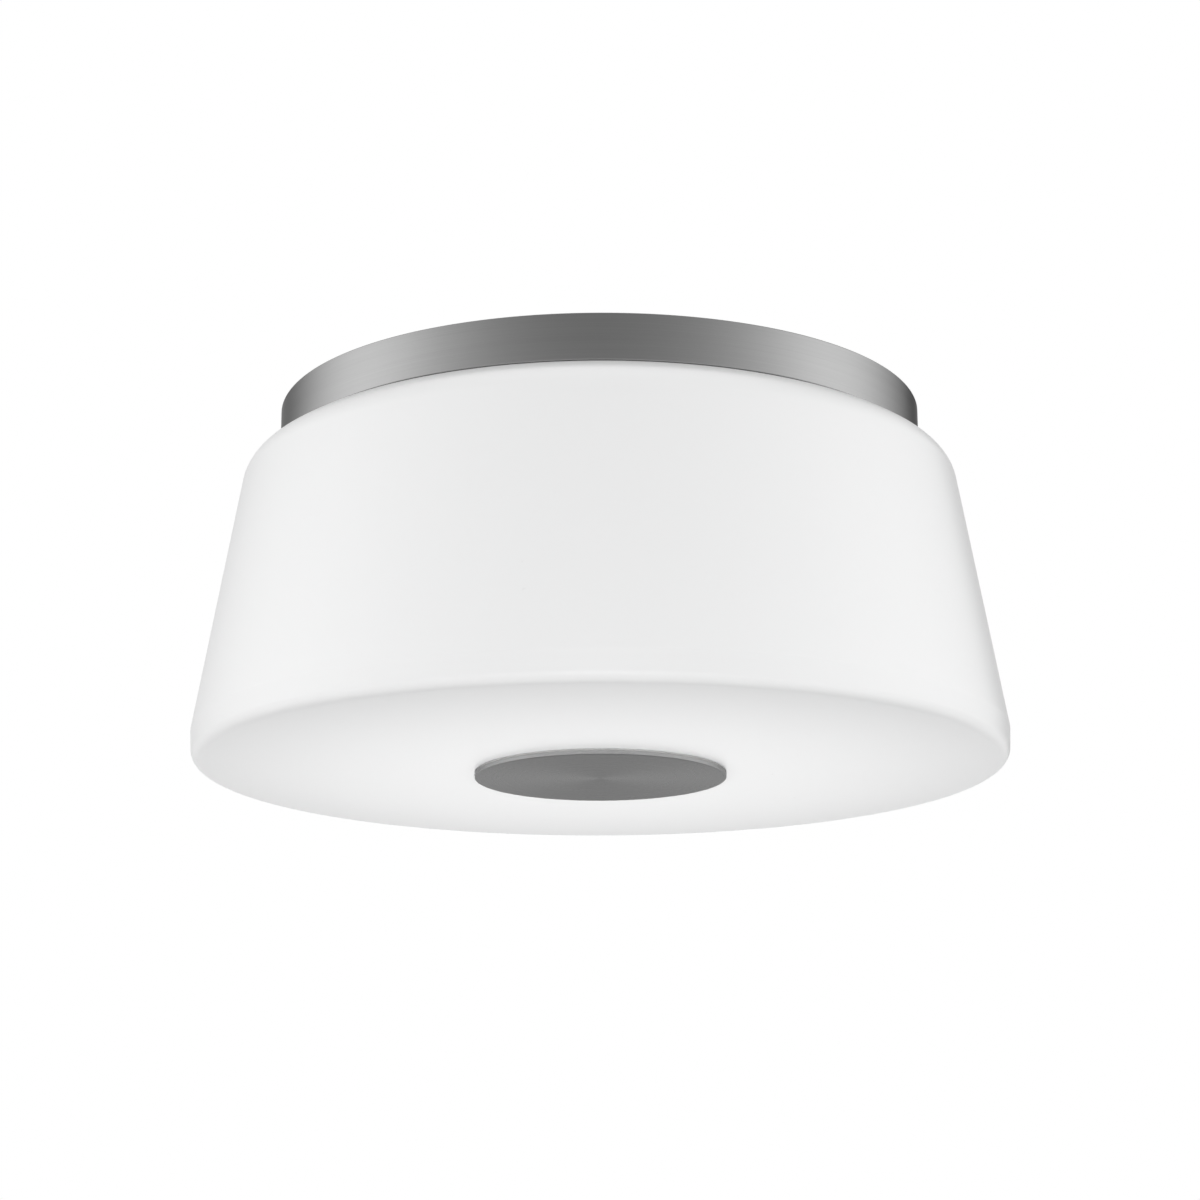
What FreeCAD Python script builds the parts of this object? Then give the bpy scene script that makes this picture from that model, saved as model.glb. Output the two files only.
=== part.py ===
# Flush mount ceiling light: a round metal pan, an opal glass drum and a flat finial disc.
# Millimetres. The ceiling is the plane z = 0 and the light hangs below it, on the Z axis.
import FreeCAD, Part
import math
import operator
import os
import types
import Sketcher

Vector = FreeCAD.Vector
Rotation = FreeCAD.Rotation
document = FreeCAD.newDocument("FlushMountLight")
sheet = document.addObject("Spreadsheet::Sheet", "Sizes")
nodes = []
close = 0.01      # two numbers nearer than this are taken as equal


# ---------------------------------------------------------------- sizes with their formulas

class Size:
    # A number together with the formula that ties it to the sheet.
    def __init__(self, value, formula):
        self.value = value
        self.formula = formula

    def __add__(self, other):
        return combined(self, "+", other)

    def __sub__(self, other):
        return combined(self, "-", other)

    def __mul__(self, other):
        return combined(self, "*", other)

    def __truediv__(self, other):
        return combined(self, "/", other)

    def __neg__(self):
        return combined(0, "-", self)


def sized(number):
    if isinstance(number, Size):
        return number
    return Size(number, "(%s)" % number)


def combined(first, sign, second):
    sums = {"+": operator.add, "-": operator.sub, "*": operator.mul, "/": operator.truediv}
    first = sized(first)
    second = sized(second)
    value = sums[sign](first.value, second.value)
    return Size(value, "(%s %s %s)" % (first.formula, sign, second.formula))


def given_sizes(table):
    # Writes every driving size into the sheet, with its name as the alias.
    found = {}
    for row, (name, value) in enumerate(table.items(), 1):
        sheet.set("A%d" % row, name)
        sheet.set("B%d" % row, str(value))
        sheet.setAlias("B%d" % row, name)
        found[name] = Size(value, "Sizes." + name)
    return found


def slope_of(angle):
    # The tangent of an angle in degrees.
    return Size(math.tan(math.radians(angle.value)), "tan(%s * 1 deg)" % angle.formula)


def tie(item, property_name, number):
    item.setExpression(property_name, sized(number).formula)


# ---------------------------------------------------------------- driving dimensions

driving_sizes = {
    # Opal glass shade
    "shade_width": 330.0,
    "shade_drop": 147.85,              # ceiling to the foot of the glass
    "bottom_sag": 1.25,                # flat middle of the bottom below the foot
    "sag_breadth": 90.0,               # foot's corner to the flat middle
    "sag_rounding": 300.0,
    "glass_wall": 3.0,
    "belly_height": 12.0,              # corner of the side above the foot
    "foot_inset": 0.4,                 # corner of the foot inside the width
    "foot_rounding": 4.5,
    "belly_rounding": 4.0,
    "shoulder_run": 15.5,              # corner of the shoulder outside the crown's corner
    "shoulder_drop": 9.7,              # and below the crown
    "shoulder_rounding": 14.0,
    "crown_depth": 16.9,               # ceiling to the flat crown of the glass
    "crown_corner_inset": 34.2,        # crown's corner inside the width
    "crown_rounding": 36.0,
    "crown_breadth": 21.8,             # crown's corner to the edge of the mouth
    "mouth_edge_rounding": 0.9,
    "finial_hole_room": 1.0,           # radial room round the finial's boss

    # Metal pan
    "pan_sheet": 1.0,
    "pan_overhang": 1.5,               # pan wall outside the crown's corner
    "lip_run": 12.8,                   # pan wall to the seat, level
    "lip_drop": 1.85,                  # pan's lowest edge below the crown
    "floor_depth": 23.0,               # ceiling to the underside of the floor
    "pilot_slop": 1.5,                 # pan step to the mouth of the glass
    "pilot_draft": 0.8,
    "pan_bend": 1.5,

    # Gasket between pan and glass
    "gasket_thick": 1.7,
    "gasket_inset": 2.0,               # from the edge of the mouth
    "gasket_breadth": 6.0,

    # Centre rod with its nuts and washers
    "rod_width": 10.0,
    "rod_tail": 3.8,                   # rod above its upper nut
    "rod_end_room": 1.7,               # end of the rod to the floor of the boss
    "rod_chamfer": 0.8,
    "thread_slack": 0.05,              # radial room in every threaded or plain fit
    "rod_hole_slack": 0.2,
    "rod_nut_across": 16.0,
    "rod_nut_height": 5.0,
    "washer_width": 21.0,
    "washer_thick": 1.2,

    # Finial
    "disc_width": 102.0,
    "disc_thick": 1.75,
    "disc_edge_rounding": 0.3,
    "cushion_width": 96.0,
    "cushion_thick": 0.6,
    "cushion_room": 0.3,               # radial room round the boss
    "boss_width": 16.0,
    "boss_rounding": 0.8,
    "boss_length": 15.7,
    "boss_floor": 1.5,

    # Crossbar on the outlet box
    "bar_length": 142.0,
    "bar_width": 22.0,
    "bar_thick": 1.5,
    "bar_end_rounding": 6.0,
    "box_screw_spacing": 88.9,
    "slot_length": 24.0,
    "slot_width": 4.8,
    "stud_spacing": 127.0,
    "stud_width": 4.1,
    "stud_end_room": 0.5,              # end of the stud to the floor of its nut
    "stud_hole_slack": 0.5,
    "lock_nut_across": 8.0,
    "lock_nut_height": 3.2,
    "cap_nut_width": 10.0,
    "cap_nut_length": 10.0,
    "cap_nut_floor": 1.5,
    "cap_nut_rounding": 1.6,

    # Lampholders
    "lamp_side": 44.0,                 # lamp axis from the middle of the light
    "lamp_depth": 66.0,                # lamp axis below the ceiling
    "socket_front": 26.0,              # front of the lampholder from the middle
    "socket_width": 39.0,
    "socket_length": 42.0,
    "socket_bore": 28.2,
    "socket_bore_depth": 30.0,
    "socket_edge_rounding": 2.0,
    "shell_sheet": 0.45,
    "shell_length": 23.0,
    "shell_base_hole": 18.0,
    "contact_breadth": 5.0,
    "contact_sheet": 0.5,
    "contact_heel": 8.2,               # end of the strip's foot from the axis
    "contact_bend": 4.8,               # underside of the lower bend from the axis
    "contact_crest": 2.3,              # underside of the upper bend from the axis
    "contact_reach": 3.0,              # free end past the axis
    "contact_bend_shift": 0.4,         # upper side of a bend behind its underside
    "bracket_sheet": 1.2,
    "bracket_breadth": 30.0,
    "bracket_flange": 29.0,
    "bracket_tail": 17.0,              # plate below the lamp axis
    "bracket_bend": 1.8,
    "bracket_lead_hole": 18.0,
    "bracket_screw_back": 24.0,        # behind the front of the lampholder
    "bracket_screw_side": 8.0,
    "socket_screw_offset": 13.5,
    "socket_screw_depth": 8.0,
    "socket_screw_end_room": 0.5,      # end of the screw to the floor of its hole
    "small_screw_width": 3.8,
    "small_screw_head": 7.2,
    "small_screw_head_height": 2.2,
    "small_screw_head_rounding": 1.4,
    "bracket_screw_length": 8.0,

    # Lamps
    "cap_room": 0.5,                   # radial room in the screw shell
    "cap_length": 24.0,
    "cap_collar": 2.0,                 # cap in front of the lampholder
    "cap_sheet": 0.5,
    "cap_end_rounding": 1.5,
    "cap_end_opening": 2.0,            # hole in the cap's end outside the contact tip
    "insulator_lip": 0.6,              # insulator outside the contact tip
    "insulator_inset": 2.0,            # foot of the insulator inside the cap's width
    "tip_length": 26.0,                # contact tip behind the front
    "tip_width": 9.6,
    "tip_thick": 0.8,
    "tip_rounding": 0.4,
    "bulb_width": 60.0,
    "bulb_length": 83.5,
    "bulb_wall": 0.8,
    "neck_room": 0.2,                  # radial room in the cap
    "bulb_neck_depth": 6.0,
    "bulb_lean": 30.0,                 # degrees between neck cone and axis
    "neck_rounding": 25.0,
    "ball_run": 0.3,                   # level run between the cone and the ball's middle

    # Wiring
    "lead_width": 2.2,
    "lead_hole_side": 6.0,
    "lead_hole_room": 0.2,             # radial room round a lead
    "lead_hole_depth": 5.0,
    "lead_end_room": 0.5,              # end of a lead to the floor of its hole
    "bushing_reach": 80.0,             # bushing from the middle, along the lamps
    "bushing_bore": 6.0,
    "bushing_width": 7.8,
    "bushing_collar": 12.0,
    "bushing_collar_thick": 1.2,
    "bushing_top": 1.0,                # above the floor
    "bushing_rounding": 0.5,
    "connector_mouth": 12.0,
    "connector_tail": 7.0,
    "connector_length": 20.0,
    "connector_bore": 6.4,
    "connector_bore_depth": 14.0,
    "connector_bore_taper": 0.5,
    "connector_mouth_rounding": 0.6,
    "connector_tail_rounding": 1.5,
    "connector_lift": 0.2,             # mouth above the floor of the pan
    "connector_away_x": 46.0,
    "connector_away_y": 40.0,
    "earth_pan_x": 25.0,
    "earth_pan_y": -18.0,
    "earth_bar_y": -22.0,
    "ring_width": 10.0,
    "ring_thick": 0.8,
    "barrel_width": 3.6,
    "barrel_length": 6.0,
    "barrel_reach": 4.0,
    "barrel_rise": 2.05,               # barrel axis above the ring's flat side
    "earth_screw_length": 4.0,
}
size = types.SimpleNamespace(**given_sizes(driving_sizes))

# Places worked out from them
shade_radius = size.shade_width / 2
crown_corner = shade_radius - size.crown_corner_inset
mouth_radius = crown_corner - size.crown_breadth
pan_radius = crown_corner + size.pan_overhang
crown_height = size.shade_drop - size.crown_depth
seat_depth = size.crown_depth - size.gasket_thick
pilot_radius = mouth_radius - size.pilot_slop
floor_top = size.floor_depth - size.pan_sheet
glass_depth = size.shade_drop + size.bottom_sag
disc_top = glass_depth + size.cushion_thick
socket_back = size.socket_front + size.socket_length
cap_radius = size.socket_bore / 2 - size.thread_slack - size.shell_sheet - size.cap_room
lead_start = size.lead_hole_depth - size.lead_end_room    # from the back of the lampholder


# ---------------------------------------------------------------- drawing helpers

def origin_plane(body, role):
    return next(item for item in body.Origin.OriginFeatures if item.Role == role)


def new_body(label):
    body = document.addObject("PartDesign::Body", label)
    body.Label = label
    return body


def new_sketch(body, name, role, lift=0):
    # A sketch on one of the body's own origin planes, or parallel to it at a given height.
    sketch = body.newObject("Sketcher::SketchObject", name)
    sketch.AttachmentSupport = [(origin_plane(body, role), "")]
    sketch.MapMode = "FlatFace"
    if lift:
        tie(sketch, "AttachmentOffset.Base.z", lift)
    return sketch


def fix_point(sketch, geometry, point, across, up):
    for kind, number in (("DistanceX", across), ("DistanceY", up)):
        number = sized(number)
        rule = Sketcher.Constraint(kind, -1, 1, geometry, point, number.value)
        index = sketch.addConstraint(rule)
        tie(sketch, "Constraints[%d]" % index, number)


def rounded_corner(before, corner, after, rounding):
    # The start, middle and end of the arc that rounds a corner.
    back = (before - corner).normalize()
    ahead = (after - corner).normalize()
    half = math.acos(back.dot(ahead)) / 2
    inward = (back + ahead).normalize()
    centre = corner + inward * (rounding / math.sin(half))
    run = rounding / math.tan(half)
    return corner + back * run, centre - inward * rounding, corner + ahead * run


def draw_arc(sketch, start, middle, end):
    # The arc's number, and which of its two end points lies at the start. A sketch keeps its
    # arcs counterclockwise, so one that runs the other way is drawn from its end.
    turn = (middle - start).cross(end - middle).z
    if turn > 0:
        return sketch.addGeometry(Part.Arc(start, middle, end)), 1, 2
    return sketch.addGeometry(Part.Arc(end, middle, start)), 2, 1


def draw_outline(sketch, corners):
    # A closed outline. A corner is (across, up) or (across, up, rounding).
    count = len(corners)
    points = [Vector(sized(corner[0]).value, sized(corner[1]).value, 0) for corner in corners]
    arcs = {}
    starts = list(points)
    ends = list(points)
    for index, corner in enumerate(corners):
        if len(corner) < 3:
            continue
        before = points[index - 1]
        after = points[(index + 1) % count]
        arc = rounded_corner(before, points[index], after, sized(corner[2]).value)
        starts[index] = arc[0]
        ends[index] = arc[2]
        arcs[index] = draw_arc(sketch, *arc)
    lines = []
    for index in range(count):
        line = Part.LineSegment(ends[index], starts[(index + 1) % count])
        lines.append(sketch.addGeometry(line))
    for index, corner in enumerate(corners):
        before = lines[index - 1]
        after = lines[index]
        if index in arcs:
            round_off(sketch, arcs[index], before, after, points[index], corner)
        else:
            sketch.addConstraint(Sketcher.Constraint("Coincident", before, 2, after, 1))
            fix_point(sketch, after, 1, corner[0], corner[1])


def round_off(sketch, arc, before, after, point, corner):
    # Ties a rounding to its two lines, and the lines to the corner that they would meet in.
    index, first, last = arc
    sketch.addConstraint(Sketcher.Constraint("Tangent", before, 2, index, first))
    sketch.addConstraint(Sketcher.Constraint("Tangent", index, last, after, 1))
    radius = sketch.addConstraint(Sketcher.Constraint("Radius", index, sized(corner[2]).value))
    tie(sketch, "Constraints[%d]" % radius, corner[2])
    mark = sketch.addGeometry(Part.Point(point), True)
    sketch.addConstraint(Sketcher.Constraint("PointOnObject", mark, 1, before))
    sketch.addConstraint(Sketcher.Constraint("PointOnObject", mark, 1, after))
    fix_point(sketch, mark, 1, corner[0], corner[1])


def draw_circle(sketch, across, up, radius):
    centre = Vector(sized(across).value, sized(up).value, 0)
    circle = sketch.addGeometry(Part.Circle(centre, Vector(0, 0, 1), sized(radius).value))
    fix_point(sketch, circle, 3, across, up)
    index = sketch.addConstraint(Sketcher.Constraint("Radius", circle, sized(radius).value))
    tie(sketch, "Constraints[%d]" % index, radius)


def draw_slot(sketch, middle, length, radius):
    # A slot with round ends that runs along Y through the given middle.
    reach = length / 2 - radius
    width = radius.value
    caps = []
    for side in (-1, 1):
        end = middle + reach * side
        place = Vector(0, end.value, 0)
        tip = place + Vector(0, width * side, 0)
        sides = Vector(width * side, 0, 0)
        cap = draw_arc(sketch, place + sides, tip, place - sides)
        fix_point(sketch, cap[0], 3, 0, end)
        caps.append(cap)
    for near, far in ((caps[0], caps[1]), (caps[1], caps[0])):
        start = sketch.getPoint(near[0], near[2])
        end = sketch.getPoint(far[0], far[1])
        line = sketch.addGeometry(Part.LineSegment(start, end))
        sketch.addConstraint(Sketcher.Constraint("Tangent", near[0], near[2], line, 1))
        sketch.addConstraint(Sketcher.Constraint("Tangent", line, 2, far[0], far[1]))
    index = sketch.addConstraint(Sketcher.Constraint("Radius", caps[0][0], width))
    tie(sketch, "Constraints[%d]" % index, radius)


# ---------------------------------------------------------------- solid helpers

def turn_outline(body, corners, name="Turned"):
    # Revolves an outline of (radius, height) corners about the body's Z axis.
    sketch = new_sketch(body, name + "Outline", "XZ_Plane")
    draw_outline(sketch, corners)
    turned = body.newObject("PartDesign::Revolution", name)
    turned.Profile = sketch
    turned.ReferenceAxis = (sketch, ["V_Axis"])
    turned.Angle = 360
    document.recompute()
    return turned


def hollow_out(body, corners):
    # Cuts away what a second outline sweeps about the body's Z axis.
    before = body.Shape.Volume
    sketch = new_sketch(body, "HollowOutline", "XZ_Plane")
    draw_outline(sketch, corners)
    groove = body.newObject("PartDesign::Groove", "Hollow")
    groove.Profile = sketch
    groove.ReferenceAxis = (sketch, ["V_Axis"])
    groove.Angle = 360
    document.recompute()
    if body.Shape.Volume >= before:
        raise ValueError("nothing is hollowed out of %s" % body.Label)


def turned_body(label, corners):
    body = new_body(label)
    turn_outline(body, corners)
    return body


def pad_outline(body, sketch, length, centred=False):
    pad = body.newObject("PartDesign::Pad", "Pad")
    pad.Profile = sketch
    pad.Midplane = centred
    tie(pad, "Length", length)
    document.recompute()
    return pad


def drill(body, name, holes, depth=None, lift=0):
    # Cuts round holes (across, up, radius) along the body's Z axis, right through or blind.
    before = body.Shape.Volume
    sketch = new_sketch(body, name + "Places", "XY_Plane", lift)
    for across, up, radius in holes:
        draw_circle(sketch, across, up, radius)
    pocket = body.newObject("PartDesign::Pocket", name)
    pocket.Profile = sketch
    if depth is None:
        pocket.Type = "ThroughAll"
        pocket.Midplane = True
    else:
        tie(pocket, "Length", depth)
    document.recompute()
    if depth is not None and before - body.Shape.Volume < pocket_volume(holes, depth) / 2:
        pocket.Reversed = True
        document.recompute()
    if body.Shape.Volume >= before:
        raise ValueError("%s cuts nothing from %s" % (name, body.Label))
    return pocket


def pocket_volume(holes, depth):
    return sum(math.pi * sized(hole[2]).value ** 2 for hole in holes) * sized(depth).value


def face_names(shape, wanted):
    # The names of the faces whose middle passes a test.
    found = []
    for index, face in enumerate(shape.Faces):
        if wanted(face):
            found.append("Face%d" % (index + 1))
    return found


def edge_names(shape, radius, height):
    # The names of the round edges about Z with a given radius at a given height.
    found = []
    for index, edge in enumerate(shape.Edges):
        box = edge.BoundBox
        level = abs(box.ZMin - height) < close and abs(box.ZMax - height) < close
        if level and abs(box.XMax - radius) < close:
            found.append("Edge%d" % (index + 1))
    return found


def shell_out(body, feature, wall, wanted):
    # Hollows a body to a wall of even thickness, open at the faces that pass a test.
    shell = body.newObject("PartDesign::Thickness", "Wall")
    shell.Base = (feature, face_names(feature.Shape, wanted))
    shell.Reversed = True
    shell.Join = 0
    tie(shell, "Value", wall)
    document.recompute()
    return shell


def round_edges(body, feature, names, radius):
    fillet = body.newObject("PartDesign::Fillet", "Rounding")
    fillet.Base = (feature, names)
    tie(fillet, "Radius", radius)
    document.recompute()
    return fillet


def ring_body(label, inner, outer, top, bottom):
    # A plain ring between two depths below the ceiling.
    corners = [(inner, -bottom), (outer, -bottom), (outer, -top), (inner, -top)]
    return turned_body(label, corners)


def place(item, x=0, y=0, z=0, rotation=Rotation()):
    spots = [sized(spot) for spot in (x, y, z)]
    item.Placement = FreeCAD.Placement(Vector(*[spot.value for spot in spots]), rotation)
    for axis, spot in zip("xyz", spots):
        tie(item, "Placement.Base." + axis, spot)
    return item


def node(item, label=None):
    # Marks an object as a sub-part of the light.
    if label:
        item.Label = label
    nodes.append(item)
    return item


def group(label, items):
    # Several separate solids that share one node.
    compound = document.addObject("Part::Compound", label)
    compound.Links = items
    return node(compound, label)


def hex_nut(label, across, height, bore_radius):
    # A hexagon nut that stands on z = 0.
    body = new_body(label)
    sketch = new_sketch(body, "Hexagon", "XY_Plane")
    half_side = across / 2 / math.sqrt(3)
    flat = across / 2
    corners = [(half_side * 2, 0), (half_side, flat), (-half_side, flat)]
    corners += [(-half_side * 2, 0), (-half_side, -flat), (half_side, -flat)]
    draw_outline(sketch, corners)
    pad_outline(body, sketch, height)
    drill(body, "Thread", [(0, 0, bore_radius)])
    return body


def pan_head_screw(label, length):
    # A small screw: the underside of its head is z = 0, the shank points down.
    head = size.small_screw_head / 2
    shank = size.small_screw_width / 2
    top = size.small_screw_head_height
    return turned_body(label, [
        (0, -length),
        (shank, -length),
        (shank, 0),
        (head, 0),
        (head, top, size.small_screw_head_rounding),
        (0, top),
    ])


# ---------------------------------------------------------------- glass, pan and gasket

def make_glass_shade():
    # The outside is turned as one solid with a short neck, hollowed through the neck, and the
    # neck is cut away, which leaves the open mouth.
    neck = mouth_radius + size.glass_wall
    foot_corner = shade_radius - size.foot_inset
    shoulder_radius = crown_corner + size.shoulder_run
    neck_top = crown_height + size.glass_wall
    body = new_body("glass_shade")
    solid = turn_outline(body, [
        (0, -size.bottom_sag),
        (foot_corner - size.sag_breadth, -size.bottom_sag, size.sag_rounding),
        (foot_corner, 0, size.foot_rounding),
        (shade_radius, size.belly_height, size.belly_rounding),
        (shoulder_radius, crown_height - size.shoulder_drop, size.shoulder_rounding),
        (crown_corner, crown_height, size.crown_rounding),
        (neck, crown_height),
        (neck, neck_top),
        (0, neck_top),
    ])
    top = neck_top.value
    shell_out(body, solid, size.glass_wall, lambda face: abs(face.CenterOfMass.z - top) < close)
    drill(body, "NeckCut", [(0, 0, neck)], size.glass_wall, crown_height)
    hole_radius = size.boss_width / 2 + size.finial_hole_room
    hole_start = -size.bottom_sag - size.glass_wall / 2
    hole = drill(body, "FinialHole", [(0, 0, hole_radius)], size.glass_wall * 2, hole_start)
    edges = edge_names(hole.Shape, mouth_radius.value, crown_height.value)
    round_edges(body, hole, edges, size.mouth_edge_rounding)
    place(body, 0, 0, -size.shade_drop)
    node(body)


def make_ceiling_pan():
    # A spun pan of one sheet: straight wall, a lip that follows the glass, a seat for the
    # gasket and a floor that drops into the mouth of the glass and centres it.
    radius = pan_radius
    wall_depth = size.crown_depth + size.lip_drop
    seat_radius = radius - size.lip_run
    step_radius = pilot_radius - size.pilot_draft
    lip_slope = (wall_depth - seat_depth) / size.lip_run
    step_slope = size.pilot_draft / (size.floor_depth - seat_depth)
    step_sheet = size.pan_sheet - step_slope * size.pan_sheet
    inner_bend = size.pan_bend - size.pan_sheet
    outer_bend = size.pan_bend + size.pan_sheet
    hole_radius = size.rod_width / 2 + size.rod_hole_slack
    body = turned_body("ceiling_pan", [
        (radius, 0),
        (radius, -wall_depth, size.pan_bend),
        (seat_radius, -seat_depth, outer_bend),
        (pilot_radius, -seat_depth, size.pan_bend),
        (step_radius, -size.floor_depth, outer_bend),
        (hole_radius, -size.floor_depth),
        (hole_radius, -floor_top),
        (step_radius - step_sheet, -floor_top, size.pan_bend),
        (pilot_radius - step_sheet, size.pan_sheet - seat_depth, outer_bend),
        (seat_radius + lip_slope * size.pan_sheet / 2, size.pan_sheet - seat_depth, size.pan_bend),
        (radius - size.pan_sheet, size.pan_sheet + lip_slope * size.pan_sheet - wall_depth, inner_bend),
        (radius - size.pan_sheet, 0),
    ])
    screw = size.small_screw_width / 2 + size.thread_slack
    holes = [(size.earth_pan_x, size.earth_pan_y, screw)]
    for side in (-1, 1):
        holes.append((0, size.stud_spacing / 2 * side, size.stud_width / 2 + size.stud_hole_slack))
        bushing = size.bushing_width / 2 + size.thread_slack
        holes.append((-size.bushing_reach * side, size.lamp_side * side, bushing))
        back = (size.socket_front + size.bracket_screw_back) * -side
        for step in (-1, 1):
            holes.append((back, size.lamp_side * side + size.bracket_screw_side * step, screw))
    drill(body, "FloorHoles", holes)
    node(body)


def make_gasket():
    inner = mouth_radius + size.gasket_inset
    ring = ring_body("pan_gasket", inner, inner + size.gasket_breadth, seat_depth, size.crown_depth)
    node(ring)


# ---------------------------------------------------------------- crossbar and its fasteners

def make_crossbar():
    body = new_body("mounting_crossbar")
    sketch = new_sketch(body, "BarOutline", "XY_Plane", -size.bar_thick)
    half_width = size.bar_width / 2
    half_length = size.bar_length / 2
    draw_outline(sketch, [
        (-half_width, -half_length, size.bar_end_rounding),
        (half_width, -half_length, size.bar_end_rounding),
        (half_width, half_length, size.bar_end_rounding),
        (-half_width, half_length, size.bar_end_rounding),
    ])
    pad_outline(body, sketch, size.bar_thick)
    slots = new_sketch(body, "BoxSlots", "XY_Plane")
    for side in (-1, 1):
        draw_slot(slots, size.box_screw_spacing / 2 * side, size.slot_length, size.slot_width / 2)
    pocket = body.newObject("PartDesign::Pocket", "Slots")
    pocket.Profile = slots
    pocket.Type = "ThroughAll"
    pocket.Midplane = True
    document.recompute()
    holes = [(0, size.earth_bar_y, size.small_screw_width / 2 + size.thread_slack)]
    for side in (-1, 1):
        holes.append((0, size.stud_spacing / 2 * side, size.stud_width / 2 + size.thread_slack))
    drill(body, "BarHoles", holes)
    node(body)


def make_mounting_studs():
    # Threaded studs in the ends of the crossbar, with lock nuts, and cap nuts under the pan.
    radius = size.stud_width / 2
    bore = radius + size.thread_slack
    nut_radius = size.cap_nut_width / 2
    stud_end = size.floor_depth + size.cap_nut_length - size.cap_nut_floor - size.stud_end_room
    studs = []
    lock_nuts = []
    cap_nuts = []
    for name, side in (("front", -1), ("back", 1)):
        y = size.stud_spacing / 2 * side
        corners = [(0, -stud_end), (radius, -stud_end), (radius, 0), (0, 0)]
        studs.append(place(turned_body("stud_" + name, corners), 0, y, 0))
        lock_nut = hex_nut("lock_nut_" + name, size.lock_nut_across, size.lock_nut_height, bore)
        lock_nuts.append(place(lock_nut, 0, y, -size.bar_thick - size.lock_nut_height))
        cap_nut = turned_body("cap_nut_" + name, [
            (0, -size.cap_nut_length),
            (nut_radius, -size.cap_nut_length, size.cap_nut_rounding),
            (nut_radius, 0),
            (bore, 0),
            (bore, size.cap_nut_floor - size.cap_nut_length),
            (0, size.cap_nut_floor - size.cap_nut_length),
        ])
        cap_nuts.append(place(cap_nut, 0, y, -size.floor_depth))
    group("mounting_studs", studs)
    group("stud_lock_nuts", lock_nuts)
    group("knurled_cap_nuts", cap_nuts)


# ---------------------------------------------------------------- centre rod and finial

def make_centre_rod():
    radius = size.rod_width / 2
    end = disc_top - size.boss_floor - size.rod_end_room
    top = floor_top - size.washer_thick - size.rod_nut_height - size.rod_tail
    node(turned_body("centre_rod", [
        (0, -end),
        (radius - size.rod_chamfer, -end),
        (radius, size.rod_chamfer - end),
        (radius, -top),
        (0, -top),
    ]))
    bore = radius + size.thread_slack
    upper_nut = hex_nut("rod_nut_upper", size.rod_nut_across, size.rod_nut_height, bore)
    place(upper_nut, 0, 0, size.washer_thick - floor_top)
    lower_nut = hex_nut("rod_nut_lower", size.rod_nut_across, size.rod_nut_height, bore)
    place(lower_nut, 0, 0, -size.floor_depth - size.washer_thick - size.rod_nut_height)
    group("rod_nuts", [upper_nut, lower_nut])
    inner = radius + size.rod_hole_slack
    outer = size.washer_width / 2
    thick = size.washer_thick
    upper = ring_body("rod_washer_upper", inner, outer, floor_top - thick, floor_top)
    lower = ring_body("rod_washer_lower", inner, outer, size.floor_depth, size.floor_depth + thick)
    group("rod_washers", [upper, lower])


def make_finial():
    radius = size.disc_width / 2
    face = disc_top + size.disc_thick
    boss = size.boss_width / 2
    bore = size.rod_width / 2 + size.thread_slack
    inner = boss + size.cushion_room
    node(ring_body("finial_washer", inner, size.cushion_width / 2, glass_depth, disc_top))
    node(turned_body("finial_disc", [
        (0, -face),
        (radius, -face, size.disc_edge_rounding),
        (radius, -disc_top, size.disc_edge_rounding),
        (0, -disc_top),
    ]))
    node(turned_body("finial_boss", [
        (0, -disc_top),
        (boss, -disc_top),
        (boss, size.boss_length - disc_top, size.boss_rounding),
        (bore, size.boss_length - disc_top),
        (bore, size.boss_floor - disc_top),
        (0, size.boss_floor - disc_top),
    ]))


# ---------------------------------------------------------------- lampholders and lamps

def on_lamp_axis(item, side):
    # Sets a piece made about its own Z axis on a lamp's axis: Z becomes the way out of the
    # lampholder, X points down. Side 1 is the first lamp and side -1 the second.
    spin = Rotation(Vector(0, 1, 0), 90)
    if side < 0:
        spin = Rotation(Vector(0, 0, 1), 180) * spin
    return place(item, -size.socket_front * side, size.lamp_side * side, -size.lamp_depth, spin)


def make_socket_body(name, side):
    outer = size.socket_width / 2
    bore = size.socket_bore / 2
    body = turned_body(name + "_body", [
        (0, -size.socket_length),
        (outer, -size.socket_length, size.socket_edge_rounding),
        (outer, 0, size.socket_edge_rounding),
        (bore, 0),
        (bore, -size.socket_bore_depth),
        (0, -size.socket_bore_depth),
    ])
    lead_hole = size.lead_width / 2 + size.lead_hole_room
    leads = [(0, size.lead_hole_side * step, lead_hole) for step in (-1, 1)]
    drill(body, "LeadHoles", leads, size.lead_hole_depth, -size.socket_length)
    radius = size.small_screw_width / 2 + size.thread_slack
    screws = [(size.socket_screw_offset * step, 0, radius) for step in (-1, 1)]
    drill(body, "ScrewHoles", screws, size.socket_screw_depth, -size.socket_length)
    node(on_lamp_axis(body, side))


def make_socket_shell(name, side):
    # A brass cup with a hole in its base, pressed to the end of the bore.
    outer = size.socket_bore / 2 - size.thread_slack
    inner = outer - size.shell_sheet
    floor = -size.socket_bore_depth
    body = turned_body(name + "_shell", [
        (size.shell_base_hole / 2, floor),
        (outer, floor),
        (outer, floor + size.shell_length),
        (inner, floor + size.shell_length),
        (inner, floor + size.shell_sheet),
        (size.shell_base_hole / 2, floor + size.shell_sheet),
    ])
    node(on_lamp_axis(body, side))


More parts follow.
